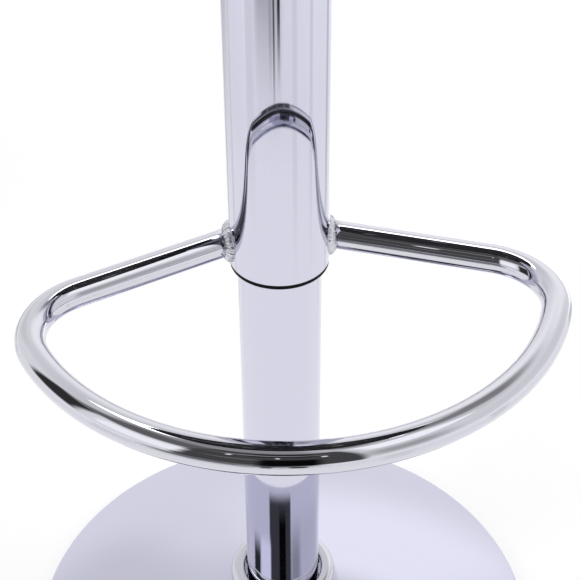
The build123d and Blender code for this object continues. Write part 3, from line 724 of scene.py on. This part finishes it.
# %% Cushion section
WELT_RADIUS = 3.0
FULL_ABOVE_BOARD = 8.0
SHOULDER_WIDTH = 22.0
CROWN = 11.0
SLACK = 3.0
SEAM_DEPTH = 2.6
SEAM_INSET = 0.2
WELT_CLEARANCE = 0.4
COVER_WRAP = 3.5
WRAP_CLEARANCE = 0.3
CROWN_STEPS = 80
cushion_low, cushion_high = box_mm("seat_cushion")
board_high = box_mm("seat_board")[1]
welt_low, welt_high = box_mm("seat_welt")
welt_ring = (welt_high[0] - welt_low[0]) / 2 - WELT_RADIUS
welt_height = (welt_low[2] + welt_high[2]) / 2
seat_radius = (cushion_high[0] - cushion_low[0]) / 2


def tangent_arc(start, tangent, end, steps=60):
    """The arc that leaves start along a tangent and reaches end: its centre lies on the normal, as far from
    start as from end."""
    tangent = np.asarray(tangent, dtype=float) / np.hypot(*tangent)
    normal = np.array([-tangent[1], tangent[0]])
    chord = end - start
    reach = (chord @ chord) / (2 * chord @ normal)
    centre = start + normal * reach
    first, sweep = swing(centre, start, end)
    return arc_points(centre, abs(reach), first, first + sweep, steps)


seam = np.array([welt_ring - WELT_RADIUS - SEAM_INSET, welt_height])
beside_welt = WELT_RADIUS + WELT_CLEARANCE
crown_edge = welt_ring - SHOULDER_WIDTH
crown_radius = (crown_edge ** 2 + CROWN ** 2) / (2 * CROWN)
crown_x = np.linspace(0, crown_edge, CROWN_STEPS)
crown_centre = cushion_high[2] - SLACK - crown_radius
crown_line = points_of(crown_x, crown_centre + np.sqrt(crown_radius ** 2 - crown_x ** 2))
shoulder = tangent_arc(crown_line[-1], (crown_radius - CROWN, -crown_edge), seam + [SEAM_DEPTH, beside_welt])
full = np.array([seat_radius - SLACK / 2, board_high[2] + FULL_ABOVE_BOARD])
wrap_edge = np.array([board_high[0] + WRAP_CLEARANCE + COVER_WRAP, cushion_low[2]])
upper_side = tangent_arc(full, (0, 1), seam + [SEAM_DEPTH, -beside_welt])[::-1]
lower_side = tangent_arc(full, (0, -1), wrap_edge)[1:]
cover_line = np.concatenate([crown_line, shoulder[1:], seam[None], upper_side, lower_side])
cover_run = np.append(0, np.cumsum(np.linalg.norm(np.diff(cover_line, axis=0), axis=1)))
seam_run = cover_run[len(crown_line) + len(shoulder) - 1]
print("cover runs", round(cover_run[-1], 1), "mm from the middle, seam at", round(seam_run, 1))

# %% Cushion grid
RINGS = 66
SEAM_RING = 50


def disc_grid(rings):
    """Ring number and angle of each point of a square grid laid on a disc: the outer coordinate is the ring,
    and the other one runs an eighth turn to each side of its axis."""
    i, j = np.meshgrid(np.arange(-rings, rings + 1), np.arange(-rings, rings + 1), indexing="ij")
    ring = np.maximum(np.abs(i), np.abs(j))
    by_x = np.abs(i) >= np.abs(j)
    share = np.where(by_x, j / np.where(i == 0, 1, i), i / np.where(j == 0, 1, j))
    angle = np.where(by_x, share, 2 - share) * math.pi / 4
    angle = angle + np.where(np.where(by_x, i, j) < 0, math.pi, 0)
    return ring.ravel(), angle.ravel()


ring_of, angle_of = disc_grid(RINGS)
ring_run = np.concatenate([np.linspace(0, seam_run, SEAM_RING + 1),
                           np.linspace(seam_run, cover_run[-1], RINGS - SEAM_RING + 1)[1:]])
ring_radius = np.interp(ring_run, cover_run, cover_line[:, 0])
ring_height = np.interp(ring_run, cover_run, cover_line[:, 1])
cover_points = polar(ring_radius[ring_of], angle_of, ring_height[ring_of])
cover_faces = grid_faces(2 * RINGS + 1, 2 * RINGS + 1, close_columns=False)[:, ::-1]
print("cover grid", len(cover_points), "points,", RINGS, "rings")

# %% Cushion simulation
CLOTH_QUALITY = 6
CLOTH_PRESSURE = 4.0
CLOTH_GROWTH = 0.003
CLOTH_FRAMES = 20
CLOTH_CAP = 4.0
HELD_HEM = 2
NO_MOVE = 1e-6


def blown_up(points, faces, held, cap):
    """Runs a pressure cloth on the points, with some of them held. Each move is then eased off towards the
    cap: it becomes the cap times the hyperbolic tangent of move over cap."""
    mesh = new_mesh("cushion_cloth", points * MM, faces)
    cloth = new_object("cushion_cloth", mesh)
    pins = cloth.vertex_groups.new(name="held")
    pins.add(np.flatnonzero(held).tolist(), 1.0, "REPLACE")
    settings = cloth.modifiers.new("cloth", "CLOTH").settings
    settings.quality = CLOTH_QUALITY
    settings.vertex_group_mass = "held"
    settings.use_pressure = True
    settings.uniform_pressure_force = CLOTH_PRESSURE
    settings.shrink_min = -CLOTH_GROWTH
    settings.effector_weights.gravity = 0.0
    for step in range(1, CLOTH_FRAMES + 1):
        bpy.context.scene.frame_set(step)
    ready = cloth.evaluated_get(bpy.context.evaluated_depsgraph_get()).data
    moved = np.empty(3 * len(points), dtype=np.float32)
    ready.vertices.foreach_get("co", moved)
    shift = moved.reshape(-1, 3) / MM - points
    far = np.linalg.norm(shift, axis=1, keepdims=True)
    bpy.context.scene.frame_set(1)
    bpy.data.objects.remove(cloth)
    bpy.data.meshes.remove(mesh)
    print("cloth moved", round(float(far.max()), 1), "mm at most, mean", round(float(far.mean()), 2))
    far = np.maximum(far, NO_MOVE)
    return points + shift * cap * np.tanh(far / cap) / far


held_rings = (np.abs(ring_of - SEAM_RING) <= 1) | (ring_of >= RINGS - HELD_HEM)
cover_points = blown_up(cover_points, cover_faces, held_rings, CLOTH_CAP)

# %% [markdown]
# Sewing gathers the vinyl, so small puckers run out from the seam and fade within a centimetre. Each is a
# bell curve round the seam, of uneven depth and spacing.

# %% Cushion puckers
PUCKERS = 96
PUCKER_DEPTH = 0.7
PUCKER_WIDTH = 0.28
PUCKER_REACH = 9.0
PUCKER_START = 3.0
PUCKER_SHIFT = 0.25
PUCKER_SIZES = (0.3, 1.0)
rng = np.random.default_rng(11)
pucker_size = rng.uniform(*PUCKER_SIZES, PUCKERS)
pucker_place = (np.arange(PUCKERS) + rng.uniform(-PUCKER_SHIFT, PUCKER_SHIFT, PUCKERS)) * 2 * np.pi / PUCKERS
apart = (angle_of[:, None] - pucker_place + np.pi) % (2 * np.pi) - np.pi
pucker = (pucker_size * np.exp(-(apart * PUCKERS / (2 * np.pi) / PUCKER_WIDTH) ** 2)).sum(axis=1)
from_seam = np.abs(ring_run[ring_of] - seam_run)
fade = np.exp(-from_seam / PUCKER_REACH) * np.clip(from_seam / PUCKER_START, 0, 1)
outward = polar(1.0, angle_of, np.where(ring_of < SEAM_RING, 1.0, 0.0))
cover_points = cover_points - (PUCKER_DEPTH * pucker * fade)[:, None] * outward
print("deepest pucker", round(float((PUCKER_DEPTH * pucker * fade).max()), 2), "mm")

# %% [markdown]
# Below, the cover turns in under its hem and up to the board. Rungs across the opening close the mesh there,
# so that the cushion is one solid. One level of subdivision smooths it.

# %% Cushion cover
TUCK_CLEARANCE = 0.02
rim = np.flatnonzero(ring_of == RINGS)
rim = rim[np.argsort(angle_of[rim] % (2 * np.pi))]
rim_count = len(rim)
tuck_radius = board_high[0] + WRAP_CLEARANCE
tuck_levels = (cushion_low[2], board_high[2] + TUCK_CLEARANCE)
tuck = [polar(tuck_radius, angle_of[rim], level) for level in tuck_levels]
tuck_rows = np.stack([rim, *(len(cover_points) + np.arange(2 * rim_count).reshape(2, -1))])
tuck_faces = tuck_rows.ravel()[grid_faces(3, rim_count)][:, ::-1]
half_rim = rim_count // 2
near = np.arange(1, half_rim - 1)
top_row = tuck_rows[2]
rungs = top_row[points_of(near, near + 1, rim_count - near - 1, rim_count - near)][:, ::-1].tolist()
rungs.append(top_row[[rim_count - 1, 1, 0]].tolist())
rungs.append(top_row[[half_rim + 1, half_rim, half_rim - 1]].tolist())
cushion = make_piece("cushion_cover", np.concatenate([cover_points, *tuck]),
                     cover_faces.tolist() + tuck_faces.tolist() + rungs, leather, "carriage", "upholstery",
                     ["seat_cushion"])
finer = cushion.modifiers.new("smooth", "SUBSURF")
finer.levels = 1
finer.render_levels = 1

# %% [markdown]
# The piping is a cord in a folded strip of the same vinyl, so it is a ring of round section with the small,
# uneven wrinkles that the fold makes on a curve: a few sines of different counts, added up.

# %% Piping
WELT_STEPS = 540
WELT_SEGMENTS = 18
WELT_SQUEEZE = 0.12
WRINKLE_DEPTH = 0.05
WRINKLE_COUNTS = (57, 83, 118, 149)
WRINKLE_SIZES = (0.3, 1.0)
WRINKLE_TURNS = (0, 6.3)
welt_turn = full_turn(WELT_STEPS)
welt_round = full_turn(WELT_SEGMENTS)[:, None]
wrinkle = sum(rng.uniform(*WRINKLE_SIZES) * np.sin(count * welt_turn + rng.uniform(*WRINKLE_TURNS))
              for count in WRINKLE_COUNTS)
welt_size = WELT_RADIUS - WELT_SQUEEZE + WRINKLE_DEPTH * wrinkle * np.cos(welt_round)
welt_points = polar(welt_ring + welt_size * np.cos(welt_round), welt_turn,
                    welt_height + welt_size * np.sin(welt_round))
make_piece("seam_piping", welt_points, grid_faces(WELT_SEGMENTS, WELT_STEPS, close_rows=True), leather,
           "carriage", "upholstery", ["seat_welt"])

# %% [markdown]
# ## Dust cover
#
# A ring of thin black non-woven cloth, stapled under the board. It is pulled tight between two circles of
# staples, so it waves a little in between. The staples are short bent wires, one small mesh set down many
# times.

# %% Dust cover
DUST_INNER = 118.0
DUST_STAPLES = 36
DUST_ROWS = 16
DUST_COLUMNS = 288
DUST_SAG = 0.3
DUST_PULL = 0.22
DUST_WAVE = 0.15
DUST_WAVES = 7
dust_low, dust_high = box_mm("dust_cover")
dust_outer = dust_high[0]
dust_level = (dust_low[2] + dust_high[2]) / 2
dust_turn = full_turn(DUST_COLUMNS)
dust_span = np.linspace(DUST_INNER, dust_outer, DUST_ROWS)[:, None]
belly = np.sin(np.pi * (dust_span - DUST_INNER) / (dust_outer - DUST_INNER))
dust_wave = (-DUST_SAG * belly + DUST_PULL * np.cos(DUST_STAPLES * dust_turn) * (1 - belly)
             + DUST_WAVE * belly * np.sin(DUST_WAVES * dust_turn))
dust = make_piece("dust_cloth", polar(dust_span, dust_turn, dust_level + dust_wave),
                  grid_faces(DUST_ROWS, DUST_COLUMNS), nonwoven, "carriage", "dust_fabric", ["dust_cover"])

# %% Staples
STAPLE_HALF = 5.0
STAPLE_BEND = 0.5
STAPLE_WIRE = 0.6
STAPLE_LEG = 0.5
STAPLE_DROP = 0.55
STAPLE_INNER_INSET = 5.0
STAPLE_OUTER_INSET = 6.0
STAPLE_SKEW = 0.12
wire_section = square * STAPLE_WIRE / 2
staple_flat = STAPLE_HALF - STAPLE_BEND
staple_x = np.array([-STAPLE_HALF, -staple_flat, staple_flat, STAPLE_HALF])[:, None]
staple_z = np.array([STAPLE_LEG, 0, 0, STAPLE_LEG])[:, None]
staple = points_of(staple_x, wire_section[:, 0], staple_z + wire_section[:, 1]).reshape(-1, 3)
staple_faces = grid_faces(4, 4)[:, ::-1].tolist() + [[0, 1, 2, 3], [15, 14, 13, 12]]
staple_turn = np.tile((np.arange(DUST_STAPLES) + 0.5) * 2 * np.pi / DUST_STAPLES, 2)[:, None]
staple_rings = (DUST_INNER + STAPLE_INNER_INSET, dust_outer - STAPLE_OUTER_INSET)
staple_ring = np.repeat(staple_rings, DUST_STAPLES)[:, None]
facing = staple_turn + np.pi / 2 + rng.normal(0, STAPLE_SKEW, 2 * DUST_STAPLES)[:, None]
spots = polar(staple_ring, staple_turn, dust_level - STAPLE_DROP)
turned = points_of(staple[:, 0] * np.cos(facing) - staple[:, 1] * np.sin(facing),
                   staple[:, 0] * np.sin(facing) + staple[:, 1] * np.cos(facing), staple[:, 2])
all_faces = [[index + len(staple) * number for index in face]
             for number in range(len(spots)) for face in staple_faces]
make_piece("dust_cover_staples", spots + turned, all_faces, zinc_plate, "carriage", "steel")

# %% [markdown]
# ## Materials for the CAD nodes that stay
#
# The hidden works, fasteners and pressed parts keep their CAD shape and get the finish of their material
# slot.

# %% Node finishes
slot_finish = {
    "chrome": chrome, "ballast": cast_iron, "steel": zinc_plate, "black_steel": powder_coat,
    "brass": turned_brass, "black_nylon": black_nylon, "rubber": floor_rubber, "plywood": stained_ply,
    "dust_fabric": nonwoven, "upholstery": leather,
}
for subpart in frame["record"]["subparts"]:
    mesh = frame["nodes"][subpart["node"]].data
    mesh.materials.clear()
    mesh.materials.append(slot_finish[subpart["material_slot"]])

# %% [markdown]
# ## Stage, light and camera
#
# A pale floor and a white world under soft light. What the camera sees of them, straight or in a mirror, is
# brighter than what they give off as light, so the ground looks white while the stool stays softly lit. The
# floor's glow stops short of white near the stool, and the lamps make up the rest, so its shadow is kept.

# %% Floor
FLOOR_SIZE = 14.0
FLOOR_REACH = 3.0
GLOW_NEAR, GLOW_FAR = 0.63, 0.90
GLOW_NEAR_REACH = 0.7
WHITE = (1, 1, 1, 1)


def seen_rays(tree):
    """One for rays from the camera, off a mirror or through glass, and nought for those that only light."""
    path = add_node(tree, "ShaderNodeLightPath").outputs
    seen = add_node(tree, "ShaderNodeMath", {0: path["Is Camera Ray"], 1: path["Is Glossy Ray"]},
                    operation="MAXIMUM")
    return add_node(tree, "ShaderNodeMath", {0: seen, 1: path["Is Transmission Ray"]}, operation="MAXIMUM")


floor_mesh = new_mesh("studio_floor", points_of(*(square.T * FLOOR_SIZE / 2), 0), [(0, 1, 2, 3)])
floor = new_object("studio_floor", floor_mesh)
floor_paint, tree, shader, place = new_material("matt_white_floor", "#A0A0A2", 0.9)
floor_mesh.materials.append(floor_paint)
away = add_node(tree, "ShaderNodeVectorMath", {0: place}, operation="LENGTH")
share = add_node(tree, "ShaderNodeMath", {0: away.outputs["Value"], 1: 1 / FLOOR_REACH}, operation="MULTIPLY")
glow_ramp = add_node(tree, "ShaderNodeValToRGB", {"Fac": share})
near_stop, far_stop = glow_ramp.color_ramp.elements
near_stop.position = GLOW_NEAR_REACH / FLOOR_REACH
near_stop.color = (GLOW_NEAR, GLOW_NEAR, GLOW_NEAR, 1)
far_stop.color = (GLOW_FAR, GLOW_FAR, GLOW_FAR, 1)
glow = add_node(tree, "ShaderNodeMath", {0: seen_rays(tree), 1: glow_ramp}, operation="MULTIPLY")
set_sockets(tree, shader, {"Emission Color": WHITE, "Emission Strength": glow})
print("floor:", FLOOR_SIZE, "m, glow", GLOW_NEAR, "to", GLOW_FAR)

# %% World
FILL_LIGHT = 0.4
SKY_LOW, SKY_HIGH = 0.5, 0.95
HIGH_LEVEL = 0.7
world = bpy.data.worlds.new("studio_white")
bpy.context.scene.world = world
world.use_nodes = True
tree = world.node_tree
sky = add_node(tree, "ShaderNodeTexCoord")
sky_parts = add_node(tree, "ShaderNodeSeparateXYZ", {"Vector": sky.outputs["Generated"]})
sky_level = add_node(tree, "ShaderNodeMapRange", {
    "Value": sky_parts.outputs["Z"], "From Min": SKY_LOW, "From Max": SKY_HIGH,
    "To Min": 1.0, "To Max": HIGH_LEVEL})
level = add_node(tree, "ShaderNodeMapRange", {
    "Value": seen_rays(tree), "To Min": FILL_LIGHT, "To Max": sky_level})
set_sockets(tree, tree.nodes["Background"], {"Color": WHITE, "Strength": level})
print("world:", world.name, "fill light", FILL_LIGHT)


# %% Lamps
def soft_lamp(name, place, target, width, height, power, mirrored=False):
    """A rectangular lamp that faces a target point. The chrome shows the lamp itself only if asked to."""
    lamp = bpy.data.lights.new(name, "AREA")
    lamp.shape = "RECTANGLE"
    lamp.size = width
    lamp.size_y = height
    lamp.energy = power
    holder = new_object(name, lamp)
    holder.location = place
    holder.rotation_euler = (Vector(target) - Vector(place)).to_track_quat("-Z", "Y").to_euler()
    holder.visible_glossy = mirrored
    print(name, power, "W")


soft_lamp("lamp_left", (-1.6, -0.9, 1.5), (0, 0, 0.4), 0.9, 1.2, 18)
soft_lamp("lamp_right", (1.8, -0.5, 1.7), (0, 0, 0.4), 0.9, 1.2, 20)
soft_lamp("lamp_top", (0.0, 0.7, 2.4), (0, 0, 0.3), 1.6, 1.2, 20, mirrored=True)

# %% [markdown]
# ### What the chrome mirrors
#
# Chrome shows its surroundings more than itself, so the surroundings are part of the look. Glowing patches,
# dark, grey and white, stand round the stool and lie on the floor as painted reflections: only mirror rays
# see them, so they draw the dark and bright streaks and the small glints along the tubes and leave the light
# on everything else as it is. Each one is a patch of a sphere, or of the floor, that fades out towards its
# edges.

# %% Screen helpers
SCREEN_CENTRE = np.array([0.0, 0.0, 0.35])
SCREEN_STEPS = 25


def screen_material(name, level, fade):
    """A plain glow of one level that turns clear within a share of the patch's width at each edge."""
    material = bpy.data.materials.new(name)
    material.use_nodes = True
    tree = material.node_tree
    tree.nodes.clear()
    place = add_node(tree, "ShaderNodeTexCoord")
    across = add_node(tree, "ShaderNodeVectorMath", {0: place.outputs["UV"], 1: (0.5, 0.5, 0.5)},
                      operation="SUBTRACT")
    off_middle = add_node(tree, "ShaderNodeVectorMath", {0: across}, operation="ABSOLUTE")
    sides = add_node(tree, "ShaderNodeSeparateXYZ", {"Vector": off_middle})
    edges = [add_node(tree, "ShaderNodeMapRange", {
        "Value": sides.outputs[axis], "From Min": 0.5, "From Max": 0.5 - fade},
        interpolation_type="SMOOTHSTEP") for axis in ("X", "Y")]
    cover = add_node(tree, "ShaderNodeMath", {0: edges[0], 1: edges[1]}, operation="MULTIPLY")
    clear = add_node(tree, "ShaderNodeBsdfTransparent")
    lit = add_node(tree, "ShaderNodeEmission", {"Strength": level})
    both = add_node(tree, "ShaderNodeMixShader", {0: cover, 1: clear, 2: lit})
    add_node(tree, "ShaderNodeOutputMaterial", {"Surface": both})
    return material


def patch_grid(turns, heights):
    """A grid over turns in degrees and heights: each point's height, level direction and UV shares."""
    share = np.linspace(0, 1, SCREEN_STEPS)
    spread = np.stack(np.meshgrid(share, share, indexing="ij"), axis=-1).reshape(-1, 2)
    turn, height = np.meshgrid(np.radians(np.linspace(*turns, SCREEN_STEPS)),
                               np.linspace(*heights, SCREEN_STEPS), indexing="ij")
    return height[..., None], points_of(np.sin(turn), -np.cos(turn), 0), spread


def hang_patch(name, points, spread, level, fade):
    """Puts a patch of points in metres on the stage, where mirror rays alone see it."""
    faces = grid_faces(SCREEN_STEPS, SCREEN_STEPS, close_columns=False)
    mesh = new_mesh(name, points, faces)
    mesh.uv_layers.new(name="patch").data.foreach_set("uv", spread[faces.ravel()].ravel())
    mesh.materials.append(screen_material(name, level, fade))
    patch = new_object(name, mesh)
    patch.visible_camera = False
    patch.visible_diffuse = False
    patch.visible_shadow = False
    patch.visible_transmission = False


# %% [markdown]
# The painted reflections round the stool are patches of spheres. Each has its turns in degrees left and right
# of the front, its heights in degrees above level, its distance in metres, its brightness and the share of it
# that fades.

# %% Painted reflections round the stool
painted_reflections_round_stool = [
    ("painted_dark_reflection_camera_stand", (-19, 5), (-13, 30), 1.0, 0.004, 0.2),
    ("painted_dark_reflection_front", (-48, 20), (-9, 66), 1.6, 0.08, 0.07),
    ("painted_dark_reflection_front_top", (-26, 6), (38, 62), 1.5, 0.03, 0.2),
    ("painted_dark_reflection_left", (-104, -75), (-6, 42), 0.8, 0.04, 0.2),
    ("painted_dark_reflection_over_left", (-112, -30), (36, 66), 1.7, 0.16, 0.22),
    ("painted_grey_reflection_front_right", (8, 58), (-3, 42), 1.65, 0.5, 0.4),
    ("painted_grey_reflection_right", (36, 135), (-3, 34), 1.75, 0.9, 0.3),
    ("painted_grey_reflection_ceiling_left", (-135, 25), (54, 84), 1.9, 0.36, 0.2),
    ("painted_grey_reflection_ceiling_right", (88, 165), (38, 80), 1.9, 0.3, 0.3),
    ("painted_grey_reflection_ceiling_front_right", (26, 84), (72, 84), 1.95, 0.3, 0.3),
    ("painted_white_reflection_left", (-77, -40), (3, 34), 1.3, 1.3, 0.16),
    ("painted_white_reflection_right", (18, 78), (39, 67), 1.3, 1.35, 0.17),
    ("painted_reflection_slit_high", (-46, 14), (46, 50), 1.2, 0.5, 0.4),
    ("painted_reflection_slit_low", (-42, -4), (22, 25), 1.2, 0.35, 0.4),
    ("painted_glint_left", (-31, -28), (38, 45), 1.1, 1.3, 0.3),
    ("painted_glint_middle", (-12, -10), (31, 37), 0.98, 1.3, 0.3),
    ("painted_glint_right", (4, 7), (35, 42), 1.1, 1.3, 0.3),
    ("painted_white_reflection_back_right", (112, 192), (0, 46), 2.2, 1.22, 0.35),
    ("painted_grey_reflection_back_left", (-168, -128), (4, 44), 2.2, 0.84, 0.4)]
for name, turns, heights, distance, level, fade in painted_reflections_round_stool:
    height, ahead, spread = patch_grid(turns, heights)
    climb = np.radians(height)
    direction = np.cos(climb) * ahead + np.sin(climb) * [0, 0, 1]
    hang_patch(name, SCREEN_CENTRE + distance * direction, spread, level, fade)
print(len(painted_reflections_round_stool), "standing screens")

# %% [markdown]
# The floor's patches are sectors round the column: painted shade and light on the floor that only mirror rays
# see, and the bright one near the stool paints over the stool's shadow in the mirrors. Each has its middle
# turn and its width in degrees, how far out it runs in metres, its brightness and the share that fades. They
# lie a hair above one another, so that no two share a plane.

# %% Floor patches
FLOOR_PATCH_STEP = 0.3
painted_floor_reflections = [
    ("painted_bright_floor_reflection_near", 0, 360, (0.02, 0.82), 1.07, 0.25),
    ("painted_floor_shade_reflection_front", -28, 74, (0.66, 3.4), 0.20, 0.3),
    ("painted_floor_shade_reflection_left", -148, 50, (0.50, 2.6), 0.55, 0.45),
    ("painted_bright_floor_reflection_right", 142, 66, (0.85, 3.4), 1.7, 0.3),
    ("painted_floor_reflection_strip_back_left", -157, 16, (0.25, 1.7), 0.70, 0.3),
    ("painted_floor_reflection_strip_left", -125, 10, (0.25, 1.7), 0.88, 0.3),
    ("painted_floor_reflection_strip_mid_left", -66, 24, (0.50, 1.7), 0.92, 0.3),
    ("painted_floor_reflection_strip_front", 28, 14, (0.40, 1.7), 0.92, 0.3),
    ("painted_floor_reflection_strip_right", 66, 10, (0.40, 1.7), 0.90, 0.3),
    ("painted_floor_reflection_strip_far_right", 118, 12, (0.30, 1.7), 0.72, 0.3),
    ("painted_floor_reflection_strip_bright_right", 150, 40, (0.30, 1.7), 1.3, 0.3),
    ("painted_stand_shade_reflection", -21, 8, (0.80, 1.7), 0.5, 0.3),
    ("painted_stand_leg_reflection_left", -14, 5, (0.72, 1.7), 0.12, 0.3),
    ("painted_stand_leg_reflection_right", -4, 8, (0.80, 1.7), 0.05, 0.3)]
for layer, (name, turn, width, reach, level, fade) in enumerate(painted_floor_reflections, 1):
    distance, ahead, spread = patch_grid((turn - width / 2, turn + width / 2), reach)
    hang_patch(name, distance * ahead + [0, 0, layer * FLOOR_PATCH_STEP * MM], spread, level, fade)
print(len(painted_floor_reflections), "floor patches")

# %% [markdown]
# The camera stands a little above the seat, close in front of the footrest, and looks down the column. Its
# place was solved from the ellipses and the taper of the tubes in the photograph.

# %% Camera
CAMERA_SIDE = 7.1
CAMERA_BACK = 683.0
CAMERA_ABOVE_RIM = 506.0
CAMERA_DIP = math.radians(37.91)
CAMERA_YAW = math.radians(-0.08)
CAMERA_ROLL = math.radians(-0.29)
LOOP_YAW = math.radians(7.4)
FOCAL_PIXELS = 1416.0
PICTURE_PIXELS = 580.0
SENSOR = 36.0
CLIP_START = 0.01
loop_turn = Matrix.Rotation(-LOOP_YAW, 3, "Z")
forward = Vector((math.sin(CAMERA_YAW) * math.cos(CAMERA_DIP), math.cos(CAMERA_YAW) * math.cos(CAMERA_DIP),
                  -math.sin(CAMERA_DIP)))
right = Vector((math.cos(CAMERA_YAW), -math.sin(CAMERA_YAW), 0))
above = right.cross(forward)
rolled_right = loop_turn @ (right * math.cos(CAMERA_ROLL) + above * math.sin(CAMERA_ROLL))
rolled_above = loop_turn @ (above * math.cos(CAMERA_ROLL) - right * math.sin(CAMERA_ROLL))
stand = loop_turn @ Vector((CAMERA_SIDE, -CAMERA_BACK, 0)) + Vector((0, 0, sleeve_foot + CAMERA_ABOVE_RIM))
lens = bpy.data.cameras.new("photo_camera")
lens.sensor_width = SENSOR
lens.lens = SENSOR * FOCAL_PIXELS / PICTURE_PIXELS
lens.clip_start = CLIP_START
camera = new_object("photo_camera", lens)
axes = Matrix((rolled_right, rolled_above, -(loop_turn @ forward))).transposed()
camera.matrix_world = Matrix.Translation(stand * MM) @ axes.to_4x4()
bpy.context.scene.camera = camera
bpy.context.scene.view_settings.view_transform = "Standard"
print("camera at", [round(v, 3) for v in camera.matrix_world.translation], "lens", round(lens.lens, 1), "mm")

# %% Update the scene
bpy.context.view_layer.update()
